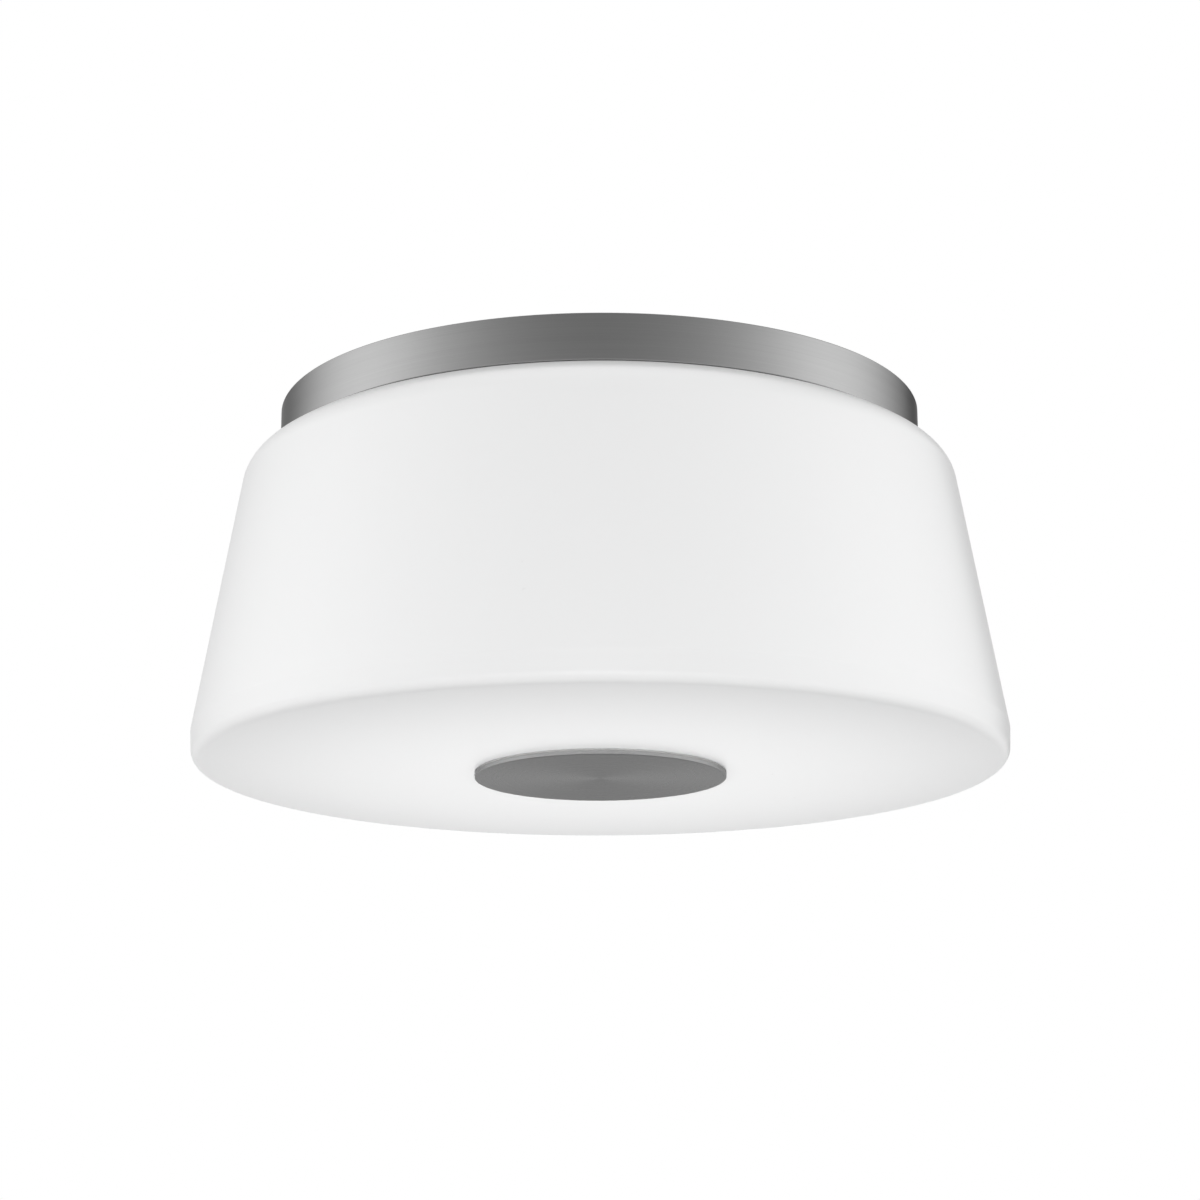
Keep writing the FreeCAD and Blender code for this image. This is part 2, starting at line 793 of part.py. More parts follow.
def make_socket_contact(name, side):
    # A bent brass strip from the floor of the bore to the tip of the lamp.
    floor = -size.socket_bore_depth
    tip = -size.tip_length
    body = new_body(name + "_contact")
    sketch = new_sketch(body, "StripOutline", "XZ_Plane")
    draw_outline(sketch, [
        (-size.contact_heel, floor),
        (-size.contact_bend, floor),
        (-size.contact_crest, tip - size.contact_sheet),
        (size.contact_reach, tip - size.contact_sheet),
        (size.contact_reach, tip),
        (-size.contact_crest - size.contact_bend_shift, tip),
        (-size.contact_bend - size.contact_bend_shift, floor + size.contact_sheet),
        (-size.contact_heel, floor + size.contact_sheet),
    ])
    pad_outline(body, sketch, size.contact_breadth, centred=True)
    node(on_lamp_axis(body, side))


def make_socket_bracket(name, side):
    # An angle: its flange lies under the floor of the pan, its plate behind the lampholder.
    top = size.floor_depth - size.lamp_depth
    back = -size.socket_length
    body = new_body(name + "_bracket")
    sketch = new_sketch(body, "AngleOutline", "XZ_Plane")
    draw_outline(sketch, [
        (top, back - size.bracket_sheet, size.bracket_bend),
        (top, back - size.bracket_sheet + size.bracket_flange),
        (top + size.bracket_sheet, back - size.bracket_sheet + size.bracket_flange),
        (top + size.bracket_sheet, back, size.bracket_bend - size.bracket_sheet),
        (size.bracket_tail, back),
        (size.bracket_tail, back - size.bracket_sheet),
    ])
    pad_outline(body, sketch, size.bracket_breadth, centred=True)
    screw = size.small_screw_width / 2 + size.thread_slack
    holes = [(0, 0, size.bracket_lead_hole / 2)]
    holes += [(size.socket_screw_offset * step, 0, screw) for step in (-1, 1)]
    drill(body, "PlateHoles", holes)
    cross_drill(body, "FlangeHoles", screw)
    node(on_lamp_axis(body, side))


def cross_drill(body, name, radius):
    # The flange holes run along the body's X axis. On this plane the sketch's first way is Y.
    sketch = new_sketch(body, name + "Places", "YZ_Plane")
    for step in (-1, 1):
        draw_circle(sketch, size.bracket_screw_side * step, -size.bracket_screw_back, radius)
    pocket = body.newObject("PartDesign::Pocket", name)
    pocket.Profile = sketch
    pocket.Type = "ThroughAll"
    pocket.Midplane = True
    document.recompute()


def make_socket_screws(name, side):
    # Screws through the plate into the porcelain, heads behind the plate.
    flip = Rotation(Vector(0, 1, 0), -90)
    if side < 0:
        flip = Rotation(Vector(0, 0, 1), 180) * flip
    depth = size.socket_screw_depth - size.socket_screw_end_room
    screws = []
    for step in (-1, 1):
        screw = pan_head_screw("%s_screw_%d" % (name, step), depth + size.bracket_sheet)
        x = (socket_back + size.bracket_sheet) * -side
        z = size.socket_screw_offset * step - size.lamp_depth
        screws.append(place(screw, x, size.lamp_side * side, z, flip))
    group(name + "_screws", screws)


def make_bracket_screws():
    # Four screws that hold the two brackets, driven up through the floor of the pan.
    screws = []
    upright = Rotation(Vector(1, 0, 0), 180)
    for side in (-1, 1):
        for step in (-1, 1):
            screw = pan_head_screw("bracket_screw_%d_%d" % (side, step), size.bracket_screw_length)
            x = (size.socket_front + size.bracket_screw_back) * -side
            y = size.lamp_side * side + size.bracket_screw_side * step
            screws.append(place(screw, x, y, -size.floor_depth - size.bracket_sheet, upright))
    group("bracket_screws", screws)


def make_lamp(name, side):
    radius = cap_radius
    inner = radius - size.cap_sheet
    cap_end = size.cap_collar - size.cap_length
    tip = -size.tip_length
    tip_radius = size.tip_width / 2
    cap = turned_body(name + "_cap", [
        (tip_radius + size.cap_end_opening, cap_end),
        (radius, cap_end, size.cap_end_rounding),
        (radius, size.cap_collar),
        (inner, size.cap_collar),
        (inner, cap_end + size.cap_sheet, size.cap_end_rounding - size.cap_sheet),
        (tip_radius + size.cap_end_opening, cap_end + size.cap_sheet),
    ])
    insulator = turned_body(name + "_insulator", [
        (0, cap_end),
        (0, tip + size.tip_thick),
        (tip_radius + size.insulator_lip, tip + size.tip_thick),
        (radius - size.insulator_inset, cap_end),
    ])
    contact = turned_body(name + "_contact", [
        (0, tip),
        (tip_radius, tip, size.tip_rounding),
        (tip_radius, tip + size.tip_thick),
        (0, tip + size.tip_thick),
    ])
    for item in (make_bulb(name), cap, insulator, contact):
        node(on_lamp_axis(item, side))


def bulb_outline(ball, neck, foot):
    # A neck, a cone and a ball that meet without a crease. The ball's middle stays put, so a
    # smaller ball and neck give the inside of the glass.
    middle = size.bulb_length - size.bulb_width / 2
    crown_share = 0.98      # the crown's arc stops just short of the axis
    cone_top = middle - size.ball_run - ball * slope_of(size.bulb_lean / 2)
    cone_foot = cone_top - (ball - neck) / slope_of(size.bulb_lean)
    return [
        (0, foot),
        (neck, foot),
        (neck, cone_foot, size.neck_rounding),
        (ball, cone_top, ball),
        (ball, middle + ball, ball * crown_share),
        (0, middle + ball),
    ]


def make_bulb(name):
    ball = size.bulb_width / 2
    neck = cap_radius - size.cap_sheet - size.neck_room
    body = turned_body(name + "_bulb", bulb_outline(ball, neck, -size.bulb_neck_depth))
    inside = bulb_outline(ball - size.bulb_wall, neck - size.bulb_wall, -size.bulb_neck_depth)
    hollow_out(body, inside)
    return body


# ---------------------------------------------------------------- wiring

def make_lead(name, points):
    # A lead of straight runs joined by arcs, each as wide as the shorter run beside it allows.
    arc_share = 0.45        # of the shorter run, taken up by the arc
    least_turn = 0.01       # radians, below which a corner needs no arc
    places = [Vector(*point) for point in points]
    edges = []
    start = places[0]
    for before, corner, after in zip(places, places[1:], places[2:]):
        back = (before - corner).normalize()
        ahead = (after - corner).normalize()
        run = arc_share * min((before - corner).Length, (after - corner).Length)
        half_turn = (math.pi - math.acos(max(-1, back.dot(ahead)))) / 2
        if half_turn < least_turn:
            continue
        arc = rounded_corner(before, corner, after, run / math.tan(half_turn))
        edges.append(Part.makeLine(start, arc[0]))
        edges.append(Part.Arc(*arc).toShape())
        start = arc[2]
    edges.append(Part.makeLine(start, places[-1]))
    path = Part.Wire(edges)
    radius = size.lead_width.value / 2
    section = Part.Wire(Part.makeCircle(radius, places[0], places[1] - places[0]))
    lead = document.addObject("Part::Feature", name)
    lead.Shape = path.makePipeShell([section], True, False)
    length = sum(edge.Length for edge in edges)
    if abs(lead.Shape.Volume / (math.pi * radius ** 2 * length) - 1) > close:
        raise ValueError("%s is not as thick as its section all the way" % name)
    return node(lead, name)


def make_lamp_leads(name, side):
    # The leads leave the back of the lampholder, rise through the bushing into the pan and
    # run to the two connectors: the first to the near one, the second to the far one.
    start = (lead_start - socket_back).value
    near = [(start, 38, -66), (-78, 38, -66), (-80, 42.75, -50), (-80, 42.75, -22)]
    near += [(-80, 42.75, -10), (-40.45, -32.83, -15.8), (-55.3, -47.68, -15.8)]
    far = [(start, 50, -66), (-78, 50, -66), (-80, 45.25, -50), (-80, 45.25, -22)]
    far += [(-80, 45.25, -10), (38.83, 34.45, -15.8), (53.68, 49.3, -15.8)]
    ends = {"near": near, "far": far}
    colours = {"hot": "near", "neutral": "far"}
    if side < 0:
        colours = {"hot": "far", "neutral": "near"}
    for colour, end in colours.items():
        lead = make_lead("%s_%s_lead" % (name, colour), ends[end])
        if side < 0:
            lead.Placement = FreeCAD.Placement(Vector(), Rotation(Vector(0, 0, 1), 180))


def make_bushings():
    bore = size.bushing_bore / 2
    top = floor_top - size.bushing_top
    bushings = []
    for side in (-1, 1):
        body = turned_body("bushing_%d" % side, [
            (bore, -size.floor_depth - size.bushing_collar_thick),
            (size.bushing_collar / 2, -size.floor_depth - size.bushing_collar_thick, size.bushing_rounding),
            (size.bushing_collar / 2, -size.floor_depth),
            (size.bushing_width / 2, -size.floor_depth),
            (size.bushing_width / 2, -top),
            (bore, -top),
        ])
        bushings.append(place(body, -size.bushing_reach * side, size.lamp_side * side, 0))
    group("lead_bushings", bushings)


def make_connectors():
    # Two twist-on connectors that lie on the floor of the pan, mouths to the middle.
    mouth = size.connector_mouth / 2
    tail = size.connector_tail / 2
    bore = size.connector_bore / 2
    connectors = []
    for side in (-1, 1):
        body = turned_body("connector_%d" % side, [
            (bore, 0),
            (mouth, 0, size.connector_mouth_rounding),
            (tail, size.connector_length, size.connector_tail_rounding),
            (0, size.connector_length),
            (0, size.connector_bore_depth),
            (bore - size.connector_bore_taper, size.connector_bore_depth),
        ])
        lay = Rotation(Vector(0, 0, 1), Vector(side, side, 0))
        x = size.connector_away_x * side
        y = size.connector_away_y * side
        connectors.append(place(body, x, y, mouth + size.connector_lift - floor_top, lay))
    group("wire_connectors", connectors)


def make_ring_terminal(label):
    # A ring that lies on z = 0, with a barrel for the lead towards -X.
    ring = document.addObject("Part::Cylinder", label + "_ring")
    tie(ring, "Radius", size.ring_width / 2)
    tie(ring, "Height", size.ring_thick)
    hole = document.addObject("Part::Cylinder", label + "_hole")
    tie(hole, "Radius", size.small_screw_width / 2 + size.thread_slack)
    tie(hole, "Height", size.ring_thick)
    barrel = document.addObject("Part::Cylinder", label + "_barrel")
    tie(barrel, "Radius", size.barrel_width / 2)
    tie(barrel, "Height", size.barrel_length)
    bore = document.addObject("Part::Cylinder", label + "_bore")
    tie(bore, "Radius", size.lead_width / 2 + size.thread_slack)
    tie(bore, "Height", size.barrel_length)
    sideways = Rotation(Vector(0, 1, 0), -90)
    for item in (barrel, bore):
        place(item, -size.barrel_reach, 0, size.barrel_rise, sideways)
    plate = document.addObject("Part::Cut", label + "_plate")
    plate.Base = ring
    plate.Tool = hole
    body = document.addObject("Part::Fuse", label + "_whole")
    body.Base = plate
    body.Tool = barrel
    terminal = document.addObject("Part::Cut", label)
    terminal.Base = body
    terminal.Tool = bore
    return terminal


def make_earth():
    # The earth lead ties the pan to the crossbar, with a ring terminal and a screw at each end.
    on_pan = place(make_ring_terminal("earth_ring_pan"), size.earth_pan_x, size.earth_pan_y, -floor_top)
    upside_down = Rotation(Vector(1, 0, 0), 180)
    on_bar = make_ring_terminal("earth_ring_bar")
    place(on_bar, 0, size.earth_bar_y, -size.bar_thick, upside_down)
    group("earth_terminals", [on_pan, on_bar])
    pan_screw = pan_head_screw("earth_screw_pan", size.earth_screw_length)
    place(pan_screw, size.earth_pan_x, size.earth_pan_y, size.ring_thick - floor_top)
    bar_screw = pan_head_screw("earth_screw_bar", size.bar_thick + size.ring_thick)
    place(bar_screw, 0, size.earth_bar_y, -size.bar_thick - size.ring_thick, upside_down)
    group("earth_screws", [pan_screw, bar_screw])
    make_lead("earth_lead", [
        (17, -18, -19.95),
        (8, -18, -19.95),
        (-14, -19, -17),
        (-23, -21, -10),
        (-20, -22, -3.55),
        (-5, -22, -3.55),
    ])


# ---------------------------------------------------------------- the whole light

make_ceiling_pan()
make_gasket()
make_crossbar()
make_mounting_studs()
make_centre_rod()
make_glass_shade()
make_finial()
for number, side in ((1, 1), (2, -1)):
    socket = "socket_%d" % number
    make_socket_body(socket, side)
    make_socket_shell(socket, side)
    make_socket_contact(socket, side)
    make_socket_bracket(socket, side)
    make_socket_screws(socket, side)
    make_lamp("lamp_%d" % number, side)
    make_lamp_leads("lamp_%d" % number, side)
make_bracket_screws()
make_bushings()
make_connectors()
make_earth()
document.recompute()

for item in document.Objects:
    if "Invalid" in item.State or "Error" in item.State:
        raise ValueError("%s is %s" % (item.Label, item.State))

os.makedirs("parts", exist_ok=True)
for item in nodes:
    if item.Shape.isNull() or not item.Shape.isValid():
        raise ValueError("%s has no sound shape" % item.Label)
    item.Shape.exportStep("parts/%s.step" % item.Label)
    print("%-22s %9.1f mm3" % (item.Label, item.Shape.Volume))
print("%d sub-parts" % len(nodes))
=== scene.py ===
import bmesh
import bpy
import math
import numpy as np
from mathutils import Matrix, Vector


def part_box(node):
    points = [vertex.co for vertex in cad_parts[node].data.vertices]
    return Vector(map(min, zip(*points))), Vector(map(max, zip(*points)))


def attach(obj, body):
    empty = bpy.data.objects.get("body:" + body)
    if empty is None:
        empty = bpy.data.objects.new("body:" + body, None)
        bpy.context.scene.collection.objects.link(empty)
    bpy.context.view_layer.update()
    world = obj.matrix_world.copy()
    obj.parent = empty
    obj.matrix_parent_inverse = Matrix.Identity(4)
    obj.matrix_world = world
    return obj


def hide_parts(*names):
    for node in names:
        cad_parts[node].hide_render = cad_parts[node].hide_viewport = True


# Flush mount ceiling light: metal pan, opal glass drum and round finial, with the lampholders,
# lamps and fittings inside. Shapes are worked out in millimetres and stored in metres.
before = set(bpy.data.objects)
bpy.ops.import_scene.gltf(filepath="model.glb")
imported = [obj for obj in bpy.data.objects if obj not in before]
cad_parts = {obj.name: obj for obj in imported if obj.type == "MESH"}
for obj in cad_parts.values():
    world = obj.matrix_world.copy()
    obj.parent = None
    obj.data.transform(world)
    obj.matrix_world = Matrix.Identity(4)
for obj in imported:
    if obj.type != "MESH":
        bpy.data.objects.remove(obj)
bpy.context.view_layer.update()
fullTurn = 2 * math.pi
metre = 1000.0
onWall = 0.02                    # a point this near to a wall's radius lies on the wall
mergeGap = 1e-6                  # metres, points nearer than this become one
widestStep = 0.16                # radians, between points along a rounding
sharpAngle = 38                  # degrees, edges that turn by more stay sharp


def nodeBox(node):
    # The lowest and highest corners of a node, in millimetres.
    low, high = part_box(node)
    return np.array(low) * metre, np.array(high) * metre


def roundBox(node):
    # The outer radius, the bottom and the top of a turned node, in millimetres.
    low, high = nodeBox(node)
    return high[0], low[2], high[2]


def nodeInner(node):
    # The smallest distance of a ring node's surface from the Z axis, in millimetres.
    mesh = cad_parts[node].data
    spots = np.empty(len(mesh.vertices) * 3)
    mesh.vertices.foreach_get("co", spots)
    spots = spots.reshape(-1, 3)
    return np.hypot(spots[:, 0], spots[:, 1]).min() * metre


# ---- surfaces

def gridFaces(rows, columns, closed=False):
    # Quads of a grid that closes round its columns: (i, j), (i, j+1), (i+1, j+1), (i+1, j).
    # A closed grid joins its last row to its first as well.
    lastRow = rows if closed else rows - 1
    i, j = np.meshgrid(np.arange(lastRow), np.arange(columns), indexing="ij")
    nextI = (i + 1) % rows
    nextJ = (j + 1) % columns
    corners = [i * columns + j, i * columns + nextJ, nextI * columns + nextJ, nextI * columns + j]
    return np.stack(corners, axis=-1).reshape(-1, 4)


def roundedProfile(corners, closed=False, arcStep=widestStep):
    # Corners are (radius, height) or (radius, height, rounding). A rounding is the arc that is
    # tangent to both sides: from its centre, sin((1-t)w) start + sin(t w) end over sin w,
    # where w is the angle that the outline turns by.
    places = np.array([corner[:2] for corner in corners], float)
    parts = []
    for index, corner in enumerate(corners):
        here = places[index]
        if len(corner) < 3:
            parts.append(here[None])
            continue
        back = places[index - 1] - here
        ahead = places[(index + 1) % len(corners)] - here
        back /= np.linalg.norm(back)
        ahead /= np.linalg.norm(ahead)
        half = math.acos(np.clip(back @ ahead, -1, 1)) / 2
        middle = (back + ahead) / np.linalg.norm(back + ahead)
        centre = here + middle * corner[2] / math.sin(half)
        start = here + back * corner[2] / math.tan(half) - centre
        end = here + ahead * corner[2] / math.tan(half) - centre
        turn = math.pi - 2 * half
        t = np.linspace(0, 1, max(3, math.ceil(turn / arcStep)) + 1)[:, None]
        parts.append(centre + (np.sin((1 - t) * turn) * start + np.sin(t * turn) * end)
                     / math.sin(turn))
    profile = np.concatenate(parts)
    if closed:
        profile = np.concatenate([profile, profile[:1]])
    return profile


def ringProfile(inner, outer, bottom, top, *roundings):
    # The outline of a flat ring. It takes one rounding for all edges, or one for each: lower
    # inner, lower outer, upper outer, upper inner.
    corners = ((inner, bottom), (outer, bottom), (outer, top), (inner, top))
    roundings = roundings * (len(corners) // len(roundings))
    return roundedProfile([(*corner, rounding) for corner, rounding in zip(corners, roundings)],
                          closed=True)


def finerProfile(profile, gap, low=-math.inf, high=math.inf):
    # Extra points on the straight runs between two heights, at most a gap apart.
    parts = []
    for start, end in zip(profile, profile[1:]):
        inside = low <= min(start[1], end[1]) and max(start[1], end[1]) <= high
        steps = max(1, math.ceil(np.linalg.norm(end - start) / gap)) if inside else 1
        t = np.arange(steps)[:, None] / steps
        parts.append(start + (end - start) * t)
    parts.append(profile[-1:])
    return np.concatenate(parts)


def turned(profile, columns, shapeIt=None):
    # The profile (r, z) carried round the Z axis: (r cos a, r sin a, z). shapeIt may change
    # r and z by place and angle. A profile whose ends meet is a ring, one that ends on the
    # axis closes there.
    closed = np.allclose(profile[0], profile[-1])
    if closed:
        profile = profile[:-1]
    a = np.broadcast_to(np.arange(columns) * fullTurn / columns, (len(profile), columns))
    r = np.repeat(profile[:, :1], columns, axis=1)
    z = np.repeat(profile[:, 1:], columns, axis=1)
    if shapeIt:
        r, z = shapeIt(r, z, a)
    points = np.stack([r * np.cos(a), r * np.sin(a), z], axis=-1).reshape(-1, 3)
    return points, gridFaces(len(profile), columns, closed)


def lathed(piece, outline, shapeIt=None, low=-math.inf, high=math.inf):
    # An outline of corners turned with the piece's own gap and columns. One that starts off
    # the axis closes in a ring.
    profile = roundedProfile(outline, outline[0][0] > 0, piece.get("arcStep", widestStep))
    return turned(finerProfile(profile, piece["gap"], low, high), piece["columns"], shapeIt)


def laid(surface, origin, zAxis=(0, 0, 1), xAxis=(1, 0, 0)):
    # Turns a surface so that its Z and X run along the given axes, and moves it to the origin.
    points, faces = surface
    z = np.array(zAxis, float) / np.linalg.norm(zAxis)
    x = np.array(xAxis, float) - np.dot(xAxis, z) * z
    x /= np.linalg.norm(x)
    basis = np.stack([x, np.cross(z, x), z])
    return points @ basis + np.array(origin, float), faces


def addPiece(name, surfaces, nodes, slot, body="root"):
    # Joins the surfaces in one mesh, closes poles and seams, and hangs the piece on its body.
    # Its finish goes by the name of the slot.
    points = np.concatenate([surface[0] for surface in surfaces]) / metre
    starts = np.cumsum([0] + [len(surface[0]) for surface in surfaces[:-1]])
    faces = np.concatenate([surface[1] + start for surface, start in zip(surfaces, starts)])
    mesh = bpy.data.meshes.new(name)
    mesh.from_pydata(points.tolist(), [], faces.tolist())
    edit = bmesh.new()
    edit.from_mesh(mesh)
    bmesh.ops.remove_doubles(edit, verts=edit.verts, dist=mergeGap)
    edit.to_mesh(mesh)
    edit.free()
    mesh.shade_smooth()
    mesh.set_sharp_from_angle(angle=math.radians(sharpAngle))
    mesh.materials.append(finishes[slot])
    piece = bpy.data.objects.new(name, mesh)
    bpy.context.scene.collection.objects.link(piece)
    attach(piece, body)
    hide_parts(*nodes)


def cutWall(r, outer, cut):
    # The radius less a cut, only where a point lies on the wall of the outer radius.
    return np.where(np.abs(r - outer) < onWall, r - cut, r)


def fadedEnds(z, low, high, lowRun, highRun=None):
    # 1 between two heights, falling to 0 at each of them over its run.
    return np.clip((z - low) / lowRun, 0, 1) * np.clip((high - z) / (highRun or lowRun), 0, 1)


def threadShape(outer, pitch, depth, low, high, rolled=False):
    # A right-hand thread between two heights, faded over one pitch at both ends:
    # r = outer - depth * wave(z / pitch - a / turn). The wave is |2 f - 1| of the fraction f,
    # or (1 - cos(turn f)) / 2 on the rolled thread of a lamp.
    def shapeIt(r, z, a):
        climb = z / pitch - a / fullTurn
        wave = (1 - np.cos(climb * fullTurn)) / 2 if rolled else np.abs(climb % 1 * 2 - 1)
        return cutWall(r, outer, depth * wave * fadedEnds(z, low, high, pitch)), z
    return shapeIt


# ---- node helpers and shared effects

def addNode(tree, kind, settings=None, values=None):
    # A shader node with its settings, and its inputs as plain values or links.
    node = tree.nodes.new("ShaderNode" + kind)
    for name, value in (settings or {}).items():
        setattr(node, name, value)
    for name, value in (values or {}).items():
        if isinstance(value, bpy.types.NodeSocket):
            tree.links.new(value, node.inputs[name])
        else:
            node.inputs[name].default_value = value
    return node


def mathNode(tree, operation, first, second=0.0):
    return addNode(tree, "Math", {"operation": operation},
                   {0: first, 1: second}).outputs[0]


def product(tree, first, second):
    return mathNode(tree, "MULTIPLY", first, second)


def mapped(tree, value, low, high):
    # A value from 0 to 1 brought between two others.
    return addNode(tree, "MapRange", None,
                   {"Value": value, "To Min": low, "To Max": high}).outputs[0]


def smoothStep(tree, value, start, end, low=0.0, high=1.0):
    # A smooth change from low to high while the value goes from start to end.
    return addNode(tree, "MapRange", {"interpolation_type": "SMOOTHSTEP"},
                   {"Value": value, "From Min": start, "From Max": end, "To Min": low,
                    "To Max": high}).outputs[0]


def mixedColour(tree, factor, first, second):
    node = addNode(tree, "Mix", {"data_type": "RGBA"}, {0: factor})
    for index, colour in ((6, first), (7, second)):
        if isinstance(colour, bpy.types.NodeSocket):
            tree.links.new(colour, node.inputs[index])
        else:
            node.inputs[index].default_value = (*colour, 1)
    return node.outputs[2]


def mixedValue(tree, factor, first, second):
    return addNode(tree, "Mix", {"data_type": "FLOAT"},
                   {0: factor, 2: first, 3: second}).outputs[0]


def noiseNode(tree, spot, scale, detail, **more):
    return addNode(tree, "TexNoise", None,
                   {"Vector": spot, "Scale": scale, "Detail": detail, **more}).outputs[0]


def newEffect(name, inputs, outputs):
    # An empty shader group with named number inputs and outputs.
    group = bpy.data.node_groups.new(name, "ShaderNodeTree")
    for label, value in inputs.items():
        group.interface.new_socket(label, in_out="INPUT",
                                   socket_type="NodeSocketFloat").default_value = value
    for label in outputs:
        group.interface.new_socket(label, in_out="OUTPUT", socket_type="NodeSocketFloat")
    return group, group.nodes.new("NodeGroupInput"), group.nodes.new("NodeGroupOutput")


def objectCoordinates(tree):
    return addNode(tree, "TexCoord").outputs["Object"]


def placeAndRadius(tree):
    # The object's coordinates one by one, and the distance from its Z axis.
    place = addNode(tree, "SeparateXYZ", None, {0: objectCoordinates(tree)}).outputs
    squares = [product(tree, place[index], place[index]) for index in (0, 1)]
    return place, mathNode(tree, "SQRT", mathNode(tree, "ADD", *squares))


effectValues = {
    "Lines": (1.0, 1.6),  # share of the fineness, and change along the line
    "Bands": (0.14, 0.9),
    "smearLevel": 0.5,    # noise below this leaves no smear
    "smearGain": 4.0,
    "driftShare": 0.03,   # scale of the slow drift against the grain's
}


def ringBrushEffect():
    # Brush lines that run round the Z axis: noise over (radius, height) at a fine scale, with
    # the angle at a coarse one, so that each line is long. A second, coarser noise adds bands.
    group, given, result = newEffect("ringBrush", {"Fineness": 2500.0},
                                     ["Lines", "Bands", "Radius"])
    place, radius = placeAndRadius(group)
    group.links.new(radius, result.inputs["Radius"])
    angle = mathNode(group, "ARCTAN2", place[1], place[0])
    for label in ("Lines", "Bands"):
        share, along = effectValues[label]
        fineness = product(group, given.outputs["Fineness"], share)
        across = [product(group, value, fineness) for value in (radius, place[2])]
        turn = product(group, angle, along)
        spot = addNode(group, "CombineXYZ", None,
                       {0: across[0], 1: across[1], 2: turn}).outputs[0]
        noise = noiseNode(group, spot, 1.0, 3.0, Roughness=0.6)
        group.links.new(noise, result.inputs[label])
    return group


def handMarksEffect():
    # Faint wiped smears: a stretched noise cut off below a level.
    group, given, result = newEffect("handMarks", {"Size": 40.0, "Amount": 0.5}, ["Mask"])
    noise = noiseNode(group, objectCoordinates(group), given.outputs["Size"], 5.0,
                      Roughness=0.62, Distortion=0.8)
    high = mathNode(group, "SUBTRACT", noise, effectValues["smearLevel"])
    mask = product(group, mathNode(group, "MAXIMUM", high, 0.0), effectValues["smearGain"])
    mask = product(group, mask, given.outputs["Amount"])
    group.links.new(mathNode(group, "MINIMUM", mask, 1.0), result.inputs["Mask"])
    return group


def fineGrainEffect():
    # Small even grain for moulded, cast and glazed surfaces, and a slow drift of tone.
    group, given, result = newEffect("fineGrain", {"Size": 1500.0}, ["Grain", "Drift"])
    spot = objectCoordinates(group)
    slow = product(group, given.outputs["Size"], effectValues["driftShare"])
    for label, scale, detail in (("Grain", given.outputs["Size"], 4.0), ("Drift", slow, 2.0)):
        group.links.new(noiseNode(group, spot, scale, detail), result.inputs[label])
    return group


effects = {
    "ringBrush": ringBrushEffect(),
    "handMarks": handMarksEffect(),
    "fineGrain": fineGrainEffect(),
}


def useEffect(tree, name, **values):
    labels = {label.replace("_", " "): value for label, value in values.items()}
    return addNode(tree, "Group", {"node_tree": effects[name]}, labels).outputs


def newFinish(name, **plain):
    # A material with a Principled shader whose plain values sit on its own sockets.
    finish = bpy.data.materials.new(name)
    finish.use_nodes = True
    tree = finish.node_tree
    shader = tree.nodes["Principled BSDF"]
    for label, value in plain.items():
        shader.inputs[label.replace("_", " ")].default_value = value
    return finish, tree, shader


def feed(tree, shader, **sockets):
    for label, socket in sockets.items():
        tree.links.new(socket, shader.inputs[label.replace("_", " ")])


def bumped(tree, height, depth):
    # A normal from a height of 0 to 1 that stands for a depth in metres.
    return addNode(tree, "Bump", None,
                   {"Height": height, "Distance": depth, "Strength": 1.0}).outputs[0]


def roughened(tree, rough, marks, added):
    # A roughness that is higher under the smears.
    return mathNode(tree, "ADD", rough, product(tree, marks, added))


print("effects made")


# ---- finishes

brushed = {
    "anisotropy": 0.55,
    "spreadTurn": 0.25,            # of a turn: highlights spread across the brush lines
    "lineShare": 0.7,              # of the lines, the rest from the bands
    "spread": 0.05,                # roughness either side of its mean
    "smears": (18.0, 0.35, 0.05),  # size, amount and added roughness
    "rimInset": 0.2,               # width of the disc's rim, painted paler as a painted highlight
    "rimHighlightTone": 0.40,
    "rimRoughness": 0.3,
}


def brushedMetal(name, dark, light, roughness, fineness, groove, edgeTone, rimRadius=None):
    # Lines of two greys round the axis, rougher where they are pale, with faint smears. From
    # the rim's radius outwards, in metres, the metal is satin and paler: a painted highlight.
    finish, tree, shader = newFinish(name, Metallic=1.0, Anisotropic=brushed["anisotropy"],
                                     Anisotropic_Rotation=brushed["spreadTurn"],
                                     Specular_Tint=(edgeTone, edgeTone, edgeTone, 1))
    size, amount, added = brushed["smears"]
    brush = useEffect(tree, "ringBrush", Fineness=fineness)
    marks = useEffect(tree, "handMarks", Size=size, Amount=amount)["Mask"]
    share, spread = brushed["lineShare"], brushed["spread"]
    lines = mathNode(tree, "ADD", product(tree, brush["Lines"], share),
                     product(tree, brush["Bands"], 1 - share))
    colour = mixedColour(tree, lines, (dark,) * 3, (light,) * 3)
    rough = mapped(tree, lines, roughness - spread, roughness + spread)
    rough = roughened(tree, rough, marks, added)
    # Painted highlight: the disc's rim gets a paler grey than the brushed face.
    if rimRadius:
        paintedRim = mathNode(tree, "GREATER_THAN", brush["Radius"], rimRadius)
        colour = mixedColour(tree, paintedRim, colour, (brushed["rimHighlightTone"],) * 3)
        rough = roughened(tree, rough, paintedRim, brushed["rimRoughness"] - roughness)
    tangent = addNode(tree, "Tangent", {"direction_type": "RADIAL", "axis": "Z"})
    feed(tree, shader, Base_Color=colour, Roughness=rough, Tangent=tangent.outputs[0],
         Normal=bumped(tree, lines, groove))
    return finish


